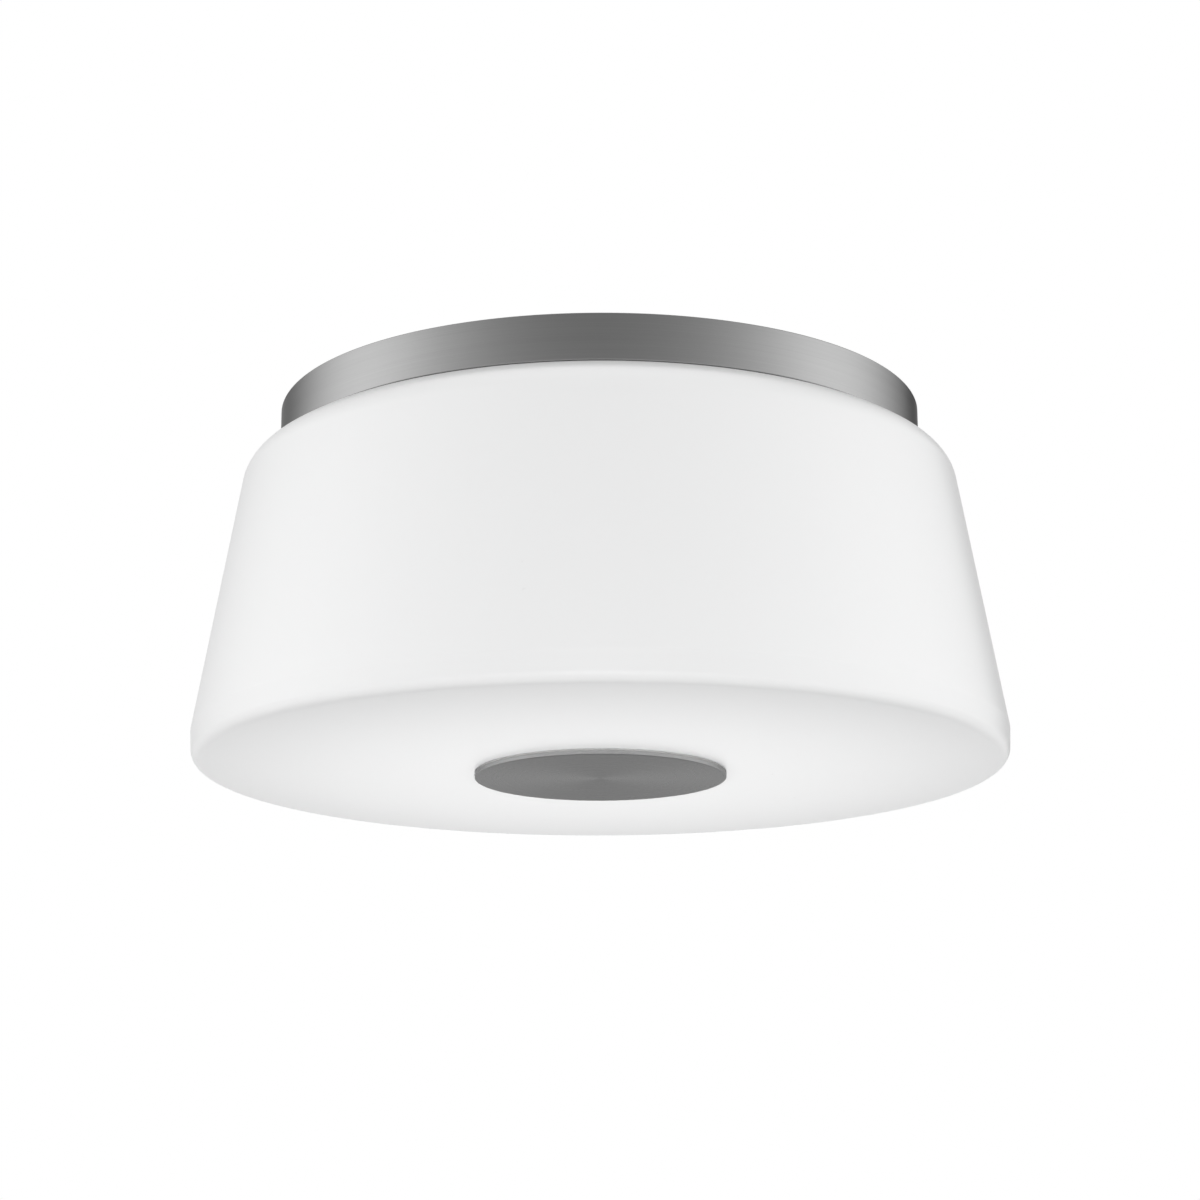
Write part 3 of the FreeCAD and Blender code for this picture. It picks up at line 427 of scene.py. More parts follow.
def grained(name, dark, light, roughness, spread=0.05, size=1600.0, depth=0.00002,
            smears=(70.0, 0.6, 0.1), tarnished=False, bumpBy="Grain", **plain):
    # Two near tones that drift into each other, or darken under the smears where the metal is
    # tarnished. The roughness follows a grain of the given size, and is higher under the
    # smears: size, amount and added roughness. The bump's depth is in metres.
    finish, tree, shader = newFinish(name, **plain)
    grain = useEffect(tree, "fineGrain", Size=size)
    rough = mapped(tree, grain["Grain"], roughness - spread, roughness + spread)
    if smears:
        marks = useEffect(tree, "handMarks", Size=smears[0], Amount=smears[1])["Mask"]
        rough = roughened(tree, rough, marks, smears[2])
    if tarnished:
        colour = mixedColour(tree, marks, light, dark)
    else:
        colour = mixedColour(tree, grain["Drift"], dark, light)
    feed(tree, shader, Base_Color=colour, Roughness=rough,
         Normal=bumped(tree, grain[bumpBy], depth))
    return finish


# Turned or drawn metal with darker tarnish where it was handled, and thin rolled sheet.
handledMetal = {"size": 1200.0, "depth": 0.000008, "smears": (90.0, 0.9, 0.15),
                "tarnished": True, "Metallic": 1.0}
rolledSheet = {"spread": 0.06, "size": 2000.0, "depth": 0.000006, "smears": None,
               "Metallic": 1.0}

finishes = {
    "pan_metal": brushedMetal("brushedNickelPan", 0.29, 0.392, roughness=0.30, fineness=2600.0,
        groove=0.000012, edgeTone=0.32),
    "finial_metal": brushedMetal("brushedNickelFinial", 0.29, 0.325, roughness=0.28,
        fineness=3000.0, groove=0.000003, edgeTone=0.48,
        rimRadius=(roundBox("finial_disc")[0] - brushed["rimInset"]) / metre),
    # White cased glass: an even body with a slow drift of tone and a satin skin.
    "opal_glass": grained("opalGlass", (0.885, 0.887, 0.888), (0.905, 0.906, 0.905), 0.29, 0.03,
        size=160.0, depth=0.00006, smears=(9.0, 0.3, 0.04), bumpBy="Drift", IOR=1.5,
        Specular_IOR_Level=0.5),
    # Zinc plate: bluish grey with faint warm clouds and small scratches.
    "plated_steel": grained("platedSteel", (0.50, 0.52, 0.54), (0.66, 0.64, 0.60), 0.31,
        size=900.0, depth=0.00001, smears=(60.0, 0.8, 0.14), Metallic=1.0),
    "cap_nut_metal": grained("nickelCapNut", (0.30, 0.29, 0.27), (0.52, 0.51, 0.48), 0.26,
        **handledMetal),
    "turned_brass": grained("turnedBrass", (0.36, 0.22, 0.08), (0.72, 0.52, 0.24), 0.24,
        **handledMetal),
    "shell_brass": grained("drawnBrass", (0.42, 0.28, 0.11), (0.78, 0.60, 0.30), 0.22,
        **handledMetal),
    "porcelain": grained("glazedPorcelain", (0.80, 0.79, 0.74), (0.86, 0.85, 0.81), 0.22,
        size=700.0, depth=0.00003, Coat_Weight=0.4, Coat_Roughness=0.08),
    "lamp_glass": grained("coatedLampGlass", (0.84, 0.84, 0.82), (0.89, 0.89, 0.88), 0.34,
        size=1100.0, depth=0.00001),
    "lamp_cap_metal": grained("lampCapMetal", (0.58, 0.58, 0.56), (0.74, 0.74, 0.72), 0.26,
        **rolledSheet),
    "lamp_tip_metal": grained("solderedTip", (0.38, 0.38, 0.37), (0.56, 0.55, 0.53), 0.42,
        **rolledSheet),
    "lamp_insulator": grained("blackInsulator", (0.012, 0.012, 0.014), (0.03, 0.03, 0.034), 0.2),
    "gasket_rubber": grained("gasketRubber", (0.52, 0.52, 0.51), (0.64, 0.64, 0.63), 0.72,
        size=900.0, depth=0.00006),
    "washer_silicone": grained("whiteSilicone", (0.80, 0.80, 0.79), (0.86, 0.86, 0.85), 0.45,
        size=900.0, depth=0.00003),
    "black_sleeve": grained("blackSleeve", (0.012, 0.012, 0.012), (0.035, 0.035, 0.036), 0.42),
    "white_sleeve": grained("whiteSleeve", (0.68, 0.67, 0.63), (0.78, 0.77, 0.74), 0.42),
    "green_sleeve": grained("greenSleeve", (0.015, 0.16, 0.04), (0.03, 0.25, 0.07), 0.42),
    "connector_plastic": grained("orangeConnector", (0.62, 0.20, 0.02), (0.78, 0.30, 0.04), 0.38),
    "bushing_plastic": grained("blackBushing", (0.014, 0.014, 0.015), (0.04, 0.04, 0.042), 0.46),
    "green_screw": grained("greenScrew", (0.02, 0.12, 0.05), (0.06, 0.36, 0.15), 0.3,
        **handledMetal),
}
print("finishes made:", len(finishes))


# ---- glass shade

glassShade = {
    "wall": 3.0,
    "bottomSag": 1.25,     # flat middle of the bottom below the foot
    "sagBreadth": 90.0,    # foot's corner to the flat middle
    "sagRounding": 300.0,
    "footInset": 0.4,      # corner of the foot inside the width
    "footRounding": 4.5,
    "bellyHeight": 12.0,   # corner of the side above the foot
    "bellyRounding": 4.0,
    "crownCornerInset": 34.2,
    "crownBreadth": 21.8,  # crown's corner to the mouth
    "crownRounding": 36.0,
    "shoulderRun": 15.5,
    "shoulderDrop": 9.7,
    "shoulderRounding": 14.0,
    "lipRounding": 1.4,
    "holeRadius": 9.0,
    "holeRounding": 0.5,
    "leastRounding": 0.6,  # on the inner side
    "arcStep": 0.075,
    "gap": 9.0,
    "columns": 352,
}


def offsetCorners(corners, wall):
    # The corners of the inner outline: each side moved inwards by the wall, met again where
    # they cross, with the roundings smaller by the wall.
    places = np.array([corner[:2] for corner in corners], float)
    along = np.diff(places, axis=0)
    along /= np.linalg.norm(along, axis=1)[:, None]
    inward = np.stack([-along[:, 1], along[:, 0]], axis=1)
    starts = places[:-1] + inward * wall
    inner = [tuple(starts[0])]
    for index in range(1, len(along)):
        sides = np.stack([along[index - 1], -along[index]], axis=1)
        reach = np.linalg.solve(sides, starts[index] - starts[index - 1])
        spot = starts[index - 1] + along[index - 1] * reach[0]
        inner.append((*spot, max(corners[index][2] - wall, glassShade["leastRounding"])))
    inner.append(tuple(places[-1] + inward[-1] * wall))
    return inner


def makeGlassShade():
    # Foot, belly, shoulder and crown as one outline of tangent arcs, with an even wall.
    radius, bottom, top = roundBox("glass_shade")
    foot = bottom + glassShade["bottomSag"]
    footCorner = radius - glassShade["footInset"]
    crownCorner = radius - glassShade["crownCornerInset"]
    hole, lip = glassShade["holeRounding"], glassShade["lipRounding"]
    outer = [
        (glassShade["holeRadius"], bottom, hole),
        (footCorner - glassShade["sagBreadth"], bottom, glassShade["sagRounding"]),
        (footCorner, foot, glassShade["footRounding"]),
        (radius, foot + glassShade["bellyHeight"], glassShade["bellyRounding"]),
        (crownCorner + glassShade["shoulderRun"], top - glassShade["shoulderDrop"],
         glassShade["shoulderRounding"]),
        (crownCorner, top, glassShade["crownRounding"]),
        (crownCorner - glassShade["crownBreadth"], top, lip),
    ]
    inner = offsetCorners(outer, glassShade["wall"])
    inner[0] = (*inner[0], hole)
    inner[-1] = (*inner[-1], lip)
    shade = lathed(glassShade, outer + inner[::-1])
    addPiece("opalShade", [shade], ["glass_shade"], "opal_glass", "shade")


makeGlassShade()
print("glass shade made")


# ---- ceiling pan and gasket

ceilingPan = {
    "sheet": 1.0,
    "edgeRounding": 0.35,  # rounded cut edge on the ceiling
    "bend": 1.5,
    "lipBend": 0.45,       # crisp lower edge of the wall
    "lipRun": 12.8,
    "lipDrop": 1.85,       # lowest edge of the wall below the glass's crown
    "pilotSlop": 1.5,      # step to the mouth of the glass
    "pilotDraft": 0.8,
    "rodHole": 5.2,
    "arcStep": 0.12,
    "gap": 12.0,
    "columns": 384,
}
panGasket = {"rounding": 0.6, "columns": 192}


def makeCeilingPan():
    # One spun sheet, from the cut edge on the ceiling down the wall, over the lip and the seat
    # and down the step to the floor, then back along the inside.
    radius, floor, _ = roundBox("ceiling_pan")
    shadeRadius, _, crown = roundBox("glass_shade")
    seat = roundBox("pan_gasket")[2]
    mouth = shadeRadius - glassShade["crownCornerInset"] - glassShade["crownBreadth"]
    sheet, bend, lipBend = (ceilingPan[part] for part in ("sheet", "bend", "lipBend"))
    lip = crown - ceilingPan["lipDrop"]
    seatRadius = radius - ceilingPan["lipRun"]
    pilot = mouth - ceilingPan["pilotSlop"]
    step = pilot - ceilingPan["pilotDraft"]
    rise = (seat - lip) / ceilingPan["lipRun"] * sheet
    edge, hole = ceilingPan["edgeRounding"], ceilingPan["rodHole"]
    outline = [(radius, 0, edge), (radius, lip, lipBend), (seatRadius, seat, bend + sheet),
               (pilot, seat, bend), (step, floor, bend + sheet), (hole, floor),
               (hole, floor + sheet), (step - sheet, floor + sheet, bend),
               (pilot - sheet, seat + sheet, bend + sheet),
               (seatRadius + rise / 2, seat + sheet, bend),
               (radius - sheet, lip + sheet + rise, lipBend), (radius - sheet, 0, edge)]
    profile = roundedProfile(outline, closed=True, arcStep=ceilingPan["arcStep"])[::-1]
    pan = turned(finerProfile(profile, ceilingPan["gap"]), ceilingPan["columns"])
    addPiece("ceilingPan", [pan], ["ceiling_pan"], "pan_metal")


def makeGasket():
    ring = ringProfile(nodeInner("pan_gasket"), *roundBox("pan_gasket"), panGasket["rounding"])
    addPiece("panGasket", [turned(ring, panGasket["columns"])], ["pan_gasket"],
             "gasket_rubber")


makeCeilingPan()
makeGasket()
print("ceiling pan made")


# ---- finial

finialDisc = {
    "rimRounding": 0.32,
    "topRounding": 0.12,
    "faceCrown": 0.1,   # the face is spun very slightly hollow towards its middle
    "flatShare": 0.94,  # of the radius, out to which the face is hollow
    "flatRounding": 30.0,
    "gap": 3.0,
    "columns": 256,
}
finialWasher = {
    "rounding": 0.2,
    "spread": 2.4,  # soft washer pressed out between disc and glass
    "columns": 128,
}
finialBoss = {
    "bore": 5.05,
    "floor": 1.5,
    "rounding": 0.8,
    "boreEdge": 0.4,
    "grooves": 3,       # turned grooves round the boss
    "grooveDepth": 0.35,
    "grooveFoot": 9.0,  # grooves between these two depths below the top
    "grooveHead": 3.0,
    "gap": 0.25,
    "columns": 96,
}


def grooveShape(outer, low, high, count, depth):
    # r = outer - depth * sin^2 of count half turns between two heights.
    def shapeIt(r, z, a):
        share = np.clip((z - low) / (high - low), 0, 1)
        return cutWall(r, outer, depth * np.sin(share * math.pi * count) ** 2), z
    return shapeIt


def makeFinial():
    # A thin disc with a crisp rounded rim, the soft washer on it, and the threaded boss with
    # its turned grooves, blind at the disc.
    radius, face, top = roundBox("finial_disc")
    disc = lathed(finialDisc, [
        (0, face + finialDisc["faceCrown"]),
        (radius * finialDisc["flatShare"], face, finialDisc["flatRounding"]),
        (radius, face, finialDisc["rimRounding"]), (radius, top, finialDisc["topRounding"]),
        (0, top)])
    addPiece("finialDisc", [disc], ["finial_disc"], "finial_metal", "finial")
    radius, bottom, top = roundBox("finial_washer")
    ring = ringProfile(nodeInner("finial_washer"), radius + finialWasher["spread"], bottom,
                       top, finialWasher["rounding"])
    addPiece("finialWasher", [turned(ring, finialWasher["columns"])], ["finial_washer"],
             "washer_silicone", "finial_travel")
    radius, bottom, top = roundBox("finial_boss")
    bore, floor = finialBoss["bore"], bottom + finialBoss["floor"]
    outline = [(0, bottom), (radius, bottom), (radius, top, finialBoss["rounding"]),
               (bore, top, finialBoss["boreEdge"]), (bore, floor), (0, floor)]
    grooves = grooveShape(radius, top - finialBoss["grooveFoot"],
                          top - finialBoss["grooveHead"], finialBoss["grooves"],
                          finialBoss["grooveDepth"])
    addPiece("finialBoss", [lathed(finialBoss, outline, grooves, bottom, top)],
             ["finial_boss"], "turned_brass", "finial")


makeFinial()
print("finial made")


# ---- threaded rod, studs, nuts and washers

rodThread = {"pitch": 1.0, "depth": 0.5, "point": 0.8, "columns": 40}
studThread = {"pitch": 0.8, "depth": 0.34, "point": 0.4, "columns": 24}
threadSteps = 6                  # points along one pitch
hexNuts = {
    "across": 16.0,
    "bore": 5.05,
    "height": 5.0,
    "lockAcross": 8.0,
    "lockBore": 2.1,
    "chamfer": 0.55,    # rise of the chamfer for a unit of radius
    "faceShare": 0.97,  # radius of an end face, in halves of the width
    "sideShare": 0.98,  # radius from which a point is on the side, likewise
    "boreEdge": 0.3,
    "gaps": 90,         # along the width
    "columns": 96,
}
rodWasher = {"bore": 5.2, "thick": 1.2, "edges": (0.2, 0.45, 0.2, 0.2), "columns": 72}
capNut = {
    "bore": 2.1,
    "floor": 1.5,
    "rounding": 1.6,
    "topEdge": 0.4,
    "knurls": 30,
    "knurlDepth": 0.28,
    "knurlPitch": 2.4,  # height that a knurl line climbs over one knurl's width
    "knurlFoot": 2.2,   # above the bottom
    "knurlHead": 0.8,   # below the top
    "knurlFade": 0.6,
    "gap": 0.22,
    "gapFoot": 1.0,     # finer points from here above the bottom
    "columns": 180,
}


def hexShape(across, bottom, top):
    # A hexagon: r = across / 2 / cos of the angle folded to 30 degrees either side of a flat,
    # no more than a cone that opens from both end faces. The bore stays round.
    def shapeIt(r, z, a):
        folded = a % (fullTurn / 6) - fullTurn / 12
        side = across / 2 / np.cos(folded)
        rise = np.minimum(z - bottom, top - z) / hexNuts["chamfer"]
        shaped = np.minimum(side, across / 2 * hexNuts["faceShare"] + rise)
        return np.where(r > across / 2 * hexNuts["sideShare"], shaped, r), z
    return shapeIt


def hexNut(across, bore, bottom, top):
    # A nut on the Z axis with countersunk bore edges.
    edge = hexNuts["boreEdge"]
    outline = [(bore, bottom, edge), (across / 2, bottom), (across / 2, top), (bore, top, edge)]
    nut = {"gap": across / hexNuts["gaps"], "columns": hexNuts["columns"]}
    return lathed(nut, outline, hexShape(across, bottom, top))


def threadedPin(radius, bottom, top, pitch, depth, point, columns):
    # A rod cut to length, pointed a little at both ends, threaded all along.
    outline = [(0, bottom), (radius - point, bottom), (radius, bottom + point),
               (radius, top - point), (radius - point, top), (0, top)]
    return lathed({"gap": pitch / threadSteps, "columns": columns}, outline,
                  threadShape(radius, pitch, depth, bottom, top), bottom + point, top - point)


def knurlShape(outer, low, high):
    # Crossed knurling: r = outer - depth * the larger of two triangle waves that climb the
    # cylinder in opposite directions, faded at both ends.
    def shapeIt(r, z, a):
        turns = a / fullTurn * capNut["knurls"]
        waves = [np.abs((turns + way * z / capNut["knurlPitch"]) % 1 * 2 - 1)
                 for way in (-1, 1)]
        fade = fadedEnds(z, low, high, capNut["knurlFade"])
        return cutWall(r, outer, capNut["knurlDepth"] * np.maximum(*waves) * fade), z
    return shapeIt


def makeRodFittings():
    # The centre rod, with a nut and a washer at each side of the pan's floor.
    rod = threadedPin(*roundBox("centre_rod"), **rodThread)
    addPiece("centreRod", [rod], ["centre_rod"], "plated_steel")
    _, bottom, top = roundBox("rod_nuts")
    height = hexNuts["height"]
    nuts = [hexNut(hexNuts["across"], hexNuts["bore"], foot, foot + height)
            for foot in (bottom, top - height)]
    addPiece("rodNuts", nuts, ["rod_nuts"], "plated_steel")
    radius, bottom, top = roundBox("rod_washers")
    bore, thick, edges = (rodWasher[part] for part in ("bore", "thick", "edges"))
    washers = [turned(ringProfile(bore, radius, foot, foot + thick, *edges),
                      rodWasher["columns"]) for foot in (bottom, top - thick)]
    addPiece("rodWashers", washers, ["rod_washers"], "plated_steel")


def makeStudFittings():
    # The two studs of the crossbar with their lock nuts and the knurled nuts below the pan.
    high = nodeBox("mounting_studs")[1]
    away = high[1] - high[0]

    def addPair(name, surface, node, slot):
        pair = [laid(surface, (0, away * side, 0)) for side in (-1, 1)]
        addPiece(name, pair, [node], slot)
    stud = threadedPin(*roundBox("mounting_studs"), **studThread)
    addPair("mountingStuds", stud, "mounting_studs", "plated_steel")
    nut = hexNut(hexNuts["lockAcross"], hexNuts["lockBore"], *roundBox("stud_lock_nuts")[1:])
    addPair("studLockNuts", nut, "stud_lock_nuts", "plated_steel")
    radius, bottom, top = roundBox("knurled_cap_nuts")
    bore, floor = capNut["bore"], bottom + capNut["floor"]
    outline = [(0, bottom), (radius, bottom, capNut["rounding"]),
               (radius, top, capNut["topEdge"]), (bore, top), (bore, floor), (0, floor)]
    knurl = knurlShape(radius, bottom + capNut["knurlFoot"], top - capNut["knurlHead"])
    cap = lathed(capNut, outline, knurl, bottom + capNut["gapFoot"], top)
    addPair("knurledCapNuts", cap, "knurled_cap_nuts", "cap_nut_metal")


makeRodFittings()
makeStudFittings()
print("rod, studs and nuts made")


# ---- small screws

smallScrew = {
    "headRadius": 3.6,
    "headHeight": 2.2,
    "headEdge": 0.25,
    "headRounding": 1.4,
    "shankRadius": 1.9,
    "point": 0.4,
    "pitch": 0.8,
    "thread": 0.3,
    "crossReach": 2.0,
    "crossWidth": 0.5,
    "crossDepth": 1.35,
    "crossSide": 0.16,  # run of a recess's side walls
    "crossEnd": 1.1,    # and of its sloping ends
    "crossFrom": 0.55,  # share of the head's height that the recess stays above
    "gap": 0.13,
    "columns": 48,
}
bracketScrews = {"spacing": 16.0, "crossWay": (0.8, 0.6, 0)}
earthScrews = (  # length, seat, way the head points and way of its cross
    (4.0, (25.0, -18.0, -21.2), (0, 0, 1), (0.6, 0.8, 0)),
    (2.2, (0, -22.0, -2.3), (0, 0, -1), (0.9, 0.3, 0)),
)


def crossShape(head):
    # The top of the head sinks by depth * the larger of two crossed arms, each arm full along
    # its middle line and gone at its width and its reach.
    def shapeIt(r, z, a):
        x, y = np.abs(r * np.cos(a)), np.abs(r * np.sin(a))
        arms = []
        for along, across in ((x, y), (y, x)):
            side = (smallScrew["crossWidth"] - across) / smallScrew["crossSide"]
            end = (smallScrew["crossReach"] - along) / smallScrew["crossEnd"]
            arms.append(np.clip(side, 0, 1) * np.clip(end, 0, 1))
        deep = smallScrew["crossDepth"] * np.maximum(*arms)
        return r, z - np.where(z > head * smallScrew["crossFrom"], deep, 0)
    return shapeIt


def panHeadScrew(length):
    # A domed head on z = 0 with a crossed recess, and a threaded shank below it.
    head, height = smallScrew["headRadius"], smallScrew["headHeight"]
    shank, point = smallScrew["shankRadius"], smallScrew["point"]
    outline = [(0, -length), (shank - point, -length), (shank, point - length), (shank, 0),
               (head, 0, smallScrew["headEdge"]), (head, height, smallScrew["headRounding"]),
               (0, height)]
    thread = threadShape(shank, smallScrew["pitch"], smallScrew["thread"], -length, 0)
    cross = crossShape(height)
    return lathed(smallScrew, outline, lambda r, z, a: cross(*thread(r, z, a), a), -length,
                  height)


def makeBracketScrews():
    # Two screws through each lampholder's bracket, driven up through the floor of the pan.
    low, high = nodeBox("bracket_screws")
    headTop = low[2] + smallScrew["headHeight"]
    reach, outer = high[:2] - smallScrew["headRadius"]
    screw = panHeadScrew(high[2] - headTop)
    screws = [laid(screw, (-reach * side, y * side, headTop), (0, 0, -1),
                   bracketScrews["crossWay"])
              for side in (1, -1) for y in (outer - bracketScrews["spacing"], outer)]
    addPiece("bracketScrews", screws, ["bracket_screws"], "plated_steel")


def makeEarthScrews():
    # The green screws: one down on the pan's floor, one up under the crossbar.
    screws = [laid(panHeadScrew(length), *place) for length, *place in earthScrews]
    addPiece("earthScrews", screws, ["earth_screws"], "green_screw")


makeBracketScrews()
makeEarthScrews()
print("small screws made")


# ---- lampholders

sides = {1: 1, 2: -1}            # number of a lampholder and its lamp, and its side of the light
lampholder = {
    "front": 26.0,      # front face from the middle of the light
    "side": 44.0,
    "height": -66.0,
    "radius": 19.5,
    "outline": [(0, -42.0), (19.5, -42.0, 2.0), (19.5, 0, 2.0), (14.1, 0, 0.5),
                (14.1, -30.0, 0.4), (0, -30.0)],
    "finer": (-42.0, 0),
    "fluteHeights": (-33.0, -9.0),
    "fluteDepth": 0.7,
    "fluteFade": 1.2,
    "fluteRest": 0.25,  # share of the depth that the ribs between flutes lie below
    "flutes": 24,
    "gap": 0.6,
    "columns": 144,
    "screwBack": 69.2,  # heads on the bracket, from the middle of the light
    "screwOffset": 13.5,
    "screwLength": 8.7,
    "screwCross": (0, 0.9, 0.4),
}
screwShell = {
    "inner": 13.6,
    "outline": [(9.0, -30.0), (14.05, -30.0, 0.5), (14.05, -7.0, 0.2), (13.6, -7.0, 0.2),
                (13.6, -29.55, 0.3), (9.0, -29.55)],
    "finer": (-29.55, -7.0),
    "pitch": 3.629,  # seven threads to the inch
    "depth": 0.36,
    "threadHeights": (-29.0, -8.0),
    "gap": 0.36,
    "columns": 96,
}


def onLampAxis(surface, side):
    # Z becomes the way out of the lampholder and X points down, as in the node.
    origin = (-lampholder["front"] * side, lampholder["side"] * side, lampholder["height"])
    return laid(surface, origin, (side, 0, 0), (0, 0, -1))


def fluteShape(outer, low, high):
    # Shallow flutes round the body between two heights:
    # r = outer - depth * (rest + (1 - rest) * sin^2(count a / 2)), faded at both ends.
    def shapeIt(r, z, a):
        rest = lampholder["fluteRest"]
        wave = rest + (1 - rest) * np.sin(lampholder["flutes"] * a / 2) ** 2
        fade = fadedEnds(z, low, high, lampholder["fluteFade"])
        return cutWall(r, outer, lampholder["fluteDepth"] * fade * wave), z
    return shapeIt


def makeLampholder(number, side):
    # Porcelain body with a fluted waist, the threaded brass shell pressed into it, and the
    # screws through the bracket.
    flutes = fluteShape(lampholder["radius"], *lampholder["fluteHeights"])
    body = lathed(lampholder, lampholder["outline"], flutes, *lampholder["finer"])
    addPiece("lampholder%dBody" % number, [onLampAxis(body, side)],
             ["socket_%d_body" % number], "porcelain")
    thread = threadShape(screwShell["inner"], screwShell["pitch"], screwShell["depth"],
                         *screwShell["threadHeights"], rolled=True)
    shell = lathed(screwShell, screwShell["outline"], thread, *screwShell["finer"])
    addPiece("lampholder%dShell" % number, [onLampAxis(shell, side)],
             ["socket_%d_shell" % number], "shell_brass")
    screw = panHeadScrew(lampholder["screwLength"])
    screws = [laid(screw, (-lampholder["screwBack"] * side, lampholder["side"] * side,
                           lampholder["height"] + lampholder["screwOffset"] * step),
                   (-side, 0, 0), lampholder["screwCross"]) for step in (-1, 1)]
    addPiece("lampholder%dScrews" % number, screws, ["socket_%d_screws" % number],
             "plated_steel")


for number, side in sides.items():
    makeLampholder(number, side)
print("lampholders made")


# ---- lamps

bulb = {
    "ball": 30.0,
    "length": 83.5,
    "wall": 0.8,
    "neck": 12.4,
    "neckDepth": 6.0,
    "lean": 30.0,        # degrees between the neck's cone and the axis
    "neckRounding": 25.0,
    "ballRun": 0.3,      # straight run below the ball's widest place
    "crownShare": 0.98,  # the crown's arc stops just short of the axis
    "arcStep": 0.06,
    "gap": 3.0,
    "columns": 112,
}
lampCap = {
    "radius": 13.1,
    "outline": [(6.8, -22.0), (13.1, -22.0, 1.5), (13.1, 2.0, 0.15), (12.6, 2.0, 0.15),
                (12.6, -21.5, 1.0), (6.8, -21.5)],
    "finer": (-22.0, 2.0),
    "threadDepth": 0.75,
    "threadHeights": (-21.0, -2.4),
    "crimps": 8,  # dimples that hold the cap to the glass
    "crimpHeight": 0.6,
    "crimpDepth": 0.3,
    "crimpSpread": 0.7,
    "gap": 0.34,
    "columns": 96,
}
insulator = {
    "outline": [(0, -25.2), (5.4, -25.2, 0.5), (11.1, -22.0), (0, -22.0)],
    "arcStep": 0.1,
    "gap": 1.2,
    "columns": 72,
}
lampTip = {
    "outline": [(0, -26.0), (2.88, -26.0, 6.0), (4.8, -25.7, 0.3), (4.8, -25.2), (0, -25.2)],
    "arcStep": 0.08,
    "gap": 12.0,  # wider than the tip, so no extra points
    "columns": 72,
}


def bulbOutline(ball, neck):
    # Neck, cone and ball: the cone leaves the ball where a tangent leans by the given angle.
    middle = bulb["length"] - bulb["ball"]
    lean = math.radians(bulb["lean"])
    coneTop = middle - bulb["ballRun"] - ball * math.tan(lean / 2)
    coneFoot = coneTop - (ball - neck) / math.tan(lean)
    corners = [(neck, -bulb["neckDepth"]), (neck, coneFoot, bulb["neckRounding"]),
               (ball, coneTop, ball), (ball, middle + ball, ball * bulb["crownShare"]),
               (0, middle + ball)]
    return roundedProfile(corners, arcStep=bulb["arcStep"])


def crimpShape(outer):
    # Small dimples round the cap near its front edge: r = outer - depth * exp(-d^2 / spread)
    # of the distance d to the nearest one.
    def shapeIt(r, z, a):
        width = fullTurn / lampCap["crimps"]
        folded = (a % width - width / 2) * outer
        away = folded ** 2 + (z - lampCap["crimpHeight"]) ** 2
        bell = np.exp(-away / lampCap["crimpSpread"])
        return cutWall(r, outer, lampCap["crimpDepth"] * bell), z
    return shapeIt


def makeLamp(number, side):
    # A bulb with an even glass wall, open at its neck, in a threaded cap with a black
    # insulator and a soldered tip.
    body = "lamp_%d" % number

    def addPart(name, surface, node, slot, carrier=body):
        addPiece("lamp%d" % number + name, [onLampAxis(surface, side)], [body + node], slot,
                 carrier)
    inside = bulbOutline(bulb["ball"] - bulb["wall"], bulb["neck"] - bulb["wall"])
    profile = np.concatenate([inside[::-1], bulbOutline(bulb["ball"], bulb["neck"])])
    glass = turned(finerProfile(profile, bulb["gap"]), bulb["columns"])
    addPart("Bulb", glass, "_bulb", "lamp_glass")
    radius = lampCap["radius"]
    thread = threadShape(radius, screwShell["pitch"], lampCap["threadDepth"],
                         *lampCap["threadHeights"], rolled=True)
    crimps = crimpShape(radius)

    def shapeIt(r, z, a):
        return np.minimum(crimps(r, z, a)[0], thread(r, z, a)[0]), z
    cap = lathed(lampCap, lampCap["outline"], shapeIt, *lampCap["finer"])
    addPart("Cap", cap, "_cap", "lamp_cap_metal")
    addPart("Insulator", lathed(insulator, insulator["outline"]), "_insulator",
            "lamp_insulator")
    addPart("Tip", lathed(lampTip, lampTip["outline"]), "_contact", "lamp_tip_metal",
            body + "_travel")


for number, side in sides.items():
    makeLamp(number, side)
print("lamps made")


# ---- bushings and wire connectors

leadBushing = {
    "bore": 3.0,
    "neck": 3.9,
    "collar": 6.0,
    "collarRounding": 0.5,
    "seatEdge": 0.15,
    "neckEdge": 0.4,
    "boreEdge": 0.3,
    "gap": 0.5,
    "columns": 64,
}
wireConnector = {
    "outline": [(0, 14.0), (2.7, 14.0), (3.2, 0), (6.0, 0, 0.6), (3.5, 20.0, 1.5), (0, 20.0)],
    "finer": (0, 20.0),
    "away": (46.0, 40.0, -15.8),
    "skin": 3.3,                # a point further out than this is on the outside
    "ribs": 14,
    "ribDepth": 0.45,
    "ribHeights": (2.5, 18.5),  # from the mouth, between their ends
    "ribFades": (2.5, 1.5),
    "gap": 0.6,
    "columns": 112,
}


def makeBushings():
    # A collar under the pan's floor and a neck through it.
    low, high = nodeBox("lead_bushings")
    floorLow = roundBox("ceiling_pan")[1]
    collar, neck, bore = (leadBushing[part] for part in ("collar", "neck", "bore"))
    x, y = high[:2] - collar
    rounding = leadBushing["collarRounding"]
    bushing = lathed(leadBushing, [
        (bore, low[2], rounding), (collar, low[2], rounding),
        (collar, floorLow, leadBushing["seatEdge"]), (neck, floorLow),
        (neck, high[2], leadBushing["neckEdge"]), (bore, high[2], leadBushing["boreEdge"])])
    bushings = [laid(bushing, (-x * side, y * side, 0)) for side in (1, -1)]
    addPiece("leadBushings", bushings, ["lead_bushings"], "bushing_plastic")


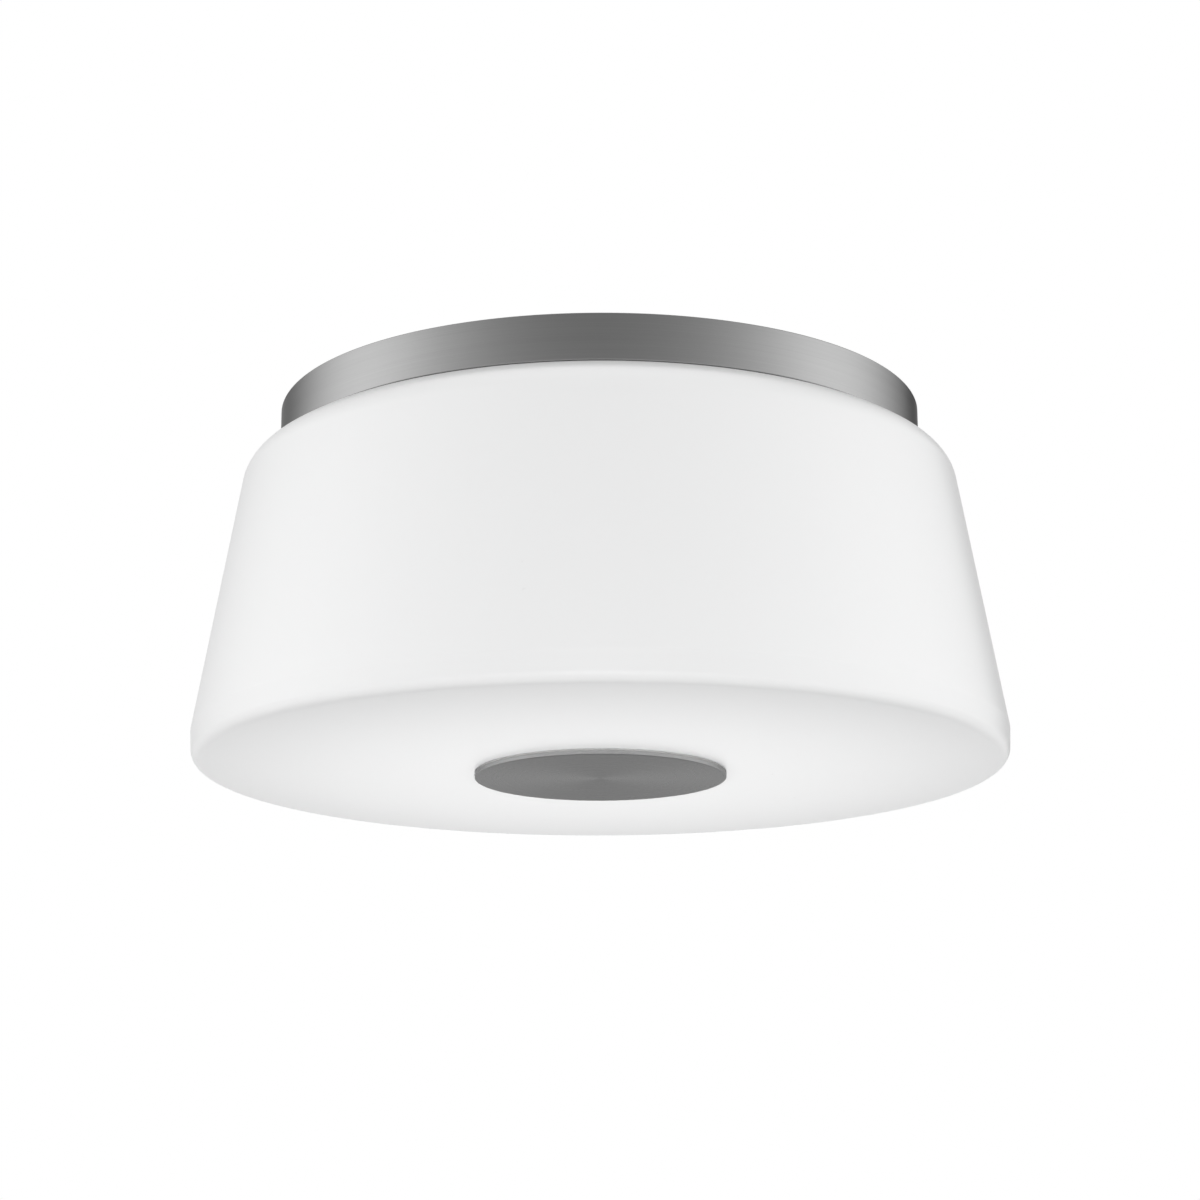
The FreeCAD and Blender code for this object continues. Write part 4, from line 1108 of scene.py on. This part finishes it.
def ribShape(r, z, a):
    # Grip ribs on a cone: r less depth * sin^2(count a / 2), growing from nothing at the mouth
    # and ending before the tail.
    fade = fadedEnds(z, *wireConnector["ribHeights"], *wireConnector["ribFades"])
    cut = wireConnector["ribDepth"] * fade * np.sin(wireConnector["ribs"] * a / 2) ** 2
    return np.where(r > wireConnector["skin"], r - cut, r), z


def makeConnectors():
    # Twist-on connectors that lie on the pan's floor with their mouths to the middle.
    shell = lathed(wireConnector, wireConnector["outline"], ribShape, *wireConnector["finer"])
    x, y, z = wireConnector["away"]
    connectors = [laid(shell, (x * side, y * side, z), (side, side, 0), (0, 0, 1))
                  for side in (1, -1)]
    addPiece("wireConnectors", connectors, ["wire_connectors"], "connector_plastic")


makeBushings()
makeConnectors()
print("bushings and connectors made")


# ---- nodes that keep their shape

keptNodes = {
    "plated_steel": ("mounting_crossbar", "socket_1_bracket", "socket_2_bracket",
                     "earth_terminals"),
    "shell_brass": ("socket_1_contact", "socket_2_contact"),
    "black_sleeve": ("lamp_1_hot_lead", "lamp_2_hot_lead"),
    "white_sleeve": ("lamp_1_neutral_lead", "lamp_2_neutral_lead"),
    "green_sleeve": ("earth_lead",),
}
for finish, nodes in keptNodes.items():
    for node in nodes:
        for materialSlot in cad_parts[node].material_slots:
            materialSlot.material = finishes[finish]
print("kept nodes finished:", sum(len(nodes) for nodes in keptNodes.values()))


# ---- stage, light and camera

paperFloor = {
    "depth": -2.0,
    "half": 40.0,
    "points": 5,         # along one edge
    "roughness": 0.9,
    "grain": 30.0,
    "tone": 0.31,        # as the light sees it
    "toneSpread": 0.01,
    "seenTone": 0.86,    # as the camera sees it
    "fade": (1.2, 4.8),  # distances between which it fades to white
}
studio = {
    "skyLevel": 0.34,             # soft light from above and below
    "zenithLevel": 1.00,          # and from straight above
    "sideLevel": 1.86,            # brightest level, straight from the sides
    "steepness": (0.35, 0.85),    # heights between which the ring gives way to the sky
    "zenithEdge": (0.78, 0.96),   # heights between which the zenith begins
    "behindEdge": (0.97, 0.985),  # shares of the way straight back, where the paper is white
    "flagWay": 153.0,             # degrees from the front to the dark flag at the back right
    "flagBreadth": 11.0,
    "flagEdge": (0.5, 1.2),       # breadths from its middle between which it ends
    "flagDepth": 0.65,
}
# Share of the side level by the way's angle from the front, in half turns.
lightRing = {0.0: 0.20, 0.1: 0.22, 0.2: 0.33, 0.27: 0.46, 0.33: 0.60, 0.38: 0.77, 0.43: 0.91,
             0.48: 1.0, 0.54: 1.0, 0.61: 0.88, 0.69: 0.68, 0.78: 0.47, 0.86: 0.36, 1.0: 0.36}
fills = {  # place, width and power
    "frontFill": ((0, -1.8, -0.85), 1.0, 11.4),
    "shoulderFill": ((0, -1.8, 0.25), 1.0, 4.5),
    "leftFill": ((-1.7, -0.3, -0.95), 1.0, 5.0),
    "rightFill": ((1.7, -0.3, -0.95), 1.0, 5.0),
}
fillAim = (0, 0, -0.1)
bottomSpot = {"place": (0, 0.01, -1.9), "width": 0.1, "power": 60.0, "reach": 14.8}
camera = {
    "place": (0.0, -1.1075, -0.3597),
    "pitch": 14.33,  # degrees above level
    "roll": 0.17,
    "lens": 83.27,
    "sensor": 36.0,
}


def makeCamera():
    # The photo's view, from the front and a little below.
    data = bpy.data.cameras.new("photoCamera")
    data.lens = camera["lens"]
    data.sensor_width = camera["sensor"]
    eye = bpy.data.objects.new("photoCamera", data)
    pitch = Matrix.Rotation(math.radians(90 + camera["pitch"]), 4, "X")
    roll = Matrix.Rotation(math.radians(-camera["roll"]), 4, "Z")
    eye.matrix_world = Matrix.Translation(camera["place"]) @ pitch @ roll
    bpy.context.scene.collection.objects.link(eye)
    bpy.context.scene.camera = eye


def makeFloor():
    # A wide pale floor far below, plain paper that keeps the light's shadow near the middle
    # and fades to the white background further out.
    row = paperFloor["points"]
    spots = np.linspace(-paperFloor["half"], paperFloor["half"], row).tolist()
    points = [(x, y, paperFloor["depth"]) for y in spots for x in spots]
    corners = [j * row + i for j in range(row - 1) for i in range(row - 1)]
    faces = [(first, first + 1, first + row + 1, first + row) for first in corners]
    mesh = bpy.data.meshes.new("paperFloor")
    mesh.from_pydata(points, [], faces)
    floor = bpy.data.objects.new("paperFloor", mesh)
    bpy.context.scene.collection.objects.link(floor)
    finish, tree, shader = newFinish("paperFloor", Roughness=paperFloor["roughness"])
    grain = useEffect(tree, "fineGrain", Size=paperFloor["grain"])
    tone, spread = paperFloor["tone"], paperFloor["toneSpread"]
    path = addNode(tree, "LightPath").outputs
    lit = mixedColour(tree, grain["Grain"], (tone - spread,) * 3, (tone + spread,) * 3)
    feed(tree, shader, Base_Color=mixedColour(tree, path["Is Camera Ray"], lit,
                                              (paperFloor["seenTone"],) * 3))
    fade = smoothStep(tree, placeAndRadius(tree)[1], *paperFloor["fade"])
    seen = mathNode(tree, "MAXIMUM", path["Is Camera Ray"], path["Is Glossy Ray"])
    seen = mathNode(tree, "MAXIMUM", seen, path["Is Transmission Ray"])
    white = addNode(tree, "Emission", None, {"Strength": 1.0})
    mix = addNode(tree, "MixShader", None,
                  {0: product(tree, fade, seen), 1: shader.outputs[0],
                   2: white.outputs[0]})
    tree.links.new(mix.outputs[0], tree.nodes["Material Output"].inputs["Surface"])
    mesh.materials.append(finish)


def makeWorld():
    # One soft surround: dim in front, bright at both sides, with a dark flag at the back
    # right, even light from above and below and a brighter zenith. The camera sees plain
    # white everywhere, and reflections see white paper straight behind.
    world = bpy.data.worlds.new("studioWorld")
    bpy.context.scene.world = world
    world.use_nodes = True
    tree = world.node_tree
    tree.nodes.clear()
    way = addNode(tree, "TexCoord").outputs["Generated"]
    parts = addNode(tree, "SeparateXYZ", None, {0: way}).outputs
    ahead = product(tree, parts[1], -1.0)
    turn = mathNode(tree, "DIVIDE", mathNode(tree, "ARCTAN2", parts[0], ahead), math.pi)
    ramp = addNode(tree, "ValToRGB", None, {0: mathNode(tree, "ABSOLUTE", turn)})
    ramp.color_ramp.interpolation = "B_SPLINE"
    stops = ramp.color_ramp.elements
    while len(stops) < len(lightRing):
        stops.new(0.5)
    for stop, (place, share) in zip(stops, lightRing.items()):
        stop.position = place
        stop.color = (share, share, share, 1)
    ring = product(tree, ramp.outputs[0], studio["sideLevel"])
    off = mathNode(tree, "SUBTRACT", turn, studio["flagWay"] / 180)
    off = mathNode(tree, "DIVIDE", mathNode(tree, "ABSOLUTE", off), studio["flagBreadth"] / 180)
    flag = smoothStep(tree, off, *studio["flagEdge"], low=1 - studio["flagDepth"])
    ring = product(tree, ring, flag)
    steep = smoothStep(tree, mathNode(tree, "ABSOLUTE", parts[2]), *studio["steepness"])
    sky = smoothStep(tree, parts[2], *studio["zenithEdge"], studio["skyLevel"],
                     studio["zenithLevel"])
    level = mixedValue(tree, steep, ring, sky)
    behind = smoothStep(tree, parts[1], *studio["behindEdge"])
    path = addNode(tree, "LightPath").outputs
    mirror = mathNode(tree, "MAXIMUM", path["Is Glossy Ray"], path["Is Transmission Ray"])
    white = mathNode(tree, "MAXIMUM", product(tree, mirror, behind),
                     path["Is Camera Ray"])
    glow = addNode(tree, "Background", None,
                   {"Color": (1, 1, 1, 1), "Strength": mixedValue(tree, white, level, 1.0)})
    output = addNode(tree, "OutputWorld")
    tree.links.new(glow.outputs[0], output.inputs["Surface"])


def hangLight(data, place, turn):
    # The light shines on the object without being seen, also not in the metal.
    light = bpy.data.objects.new(data.name, data)
    light.visible_camera = False
    light.visible_glossy = False
    light.matrix_world = Matrix.Translation(place) @ turn
    bpy.context.scene.collection.objects.link(light)


def makeFill(name, place, width, power):
    # A round soft light that looks at the middle of the glass.
    data = bpy.data.lights.new(name, "AREA")
    data.shape = "DISK"
    data.size = width
    data.energy = power
    aim = Vector(fillAim) - Vector(place)
    hangLight(data, place, aim.to_track_quat("-Z", "Y").to_matrix().to_4x4())


def makeBottomSpot():
    # A soft-edged beam straight up, brightest on the middle of the glass's bottom.
    data = bpy.data.lights.new("bottomSpot", "SPOT")
    data.energy = bottomSpot["power"]
    data.shadow_soft_size = bottomSpot["width"] / 2
    data.spot_size = math.radians(bottomSpot["reach"])
    data.spot_blend = 1.0
    hangLight(data, bottomSpot["place"], Matrix.Rotation(math.pi, 4, "X"))


bpy.context.scene.view_settings.view_transform = "Standard"
makeCamera()
makeFloor()
makeWorld()
for name, fill in fills.items():
    makeFill(name, *fill)
makeBottomSpot()
print("stage, light and camera made")
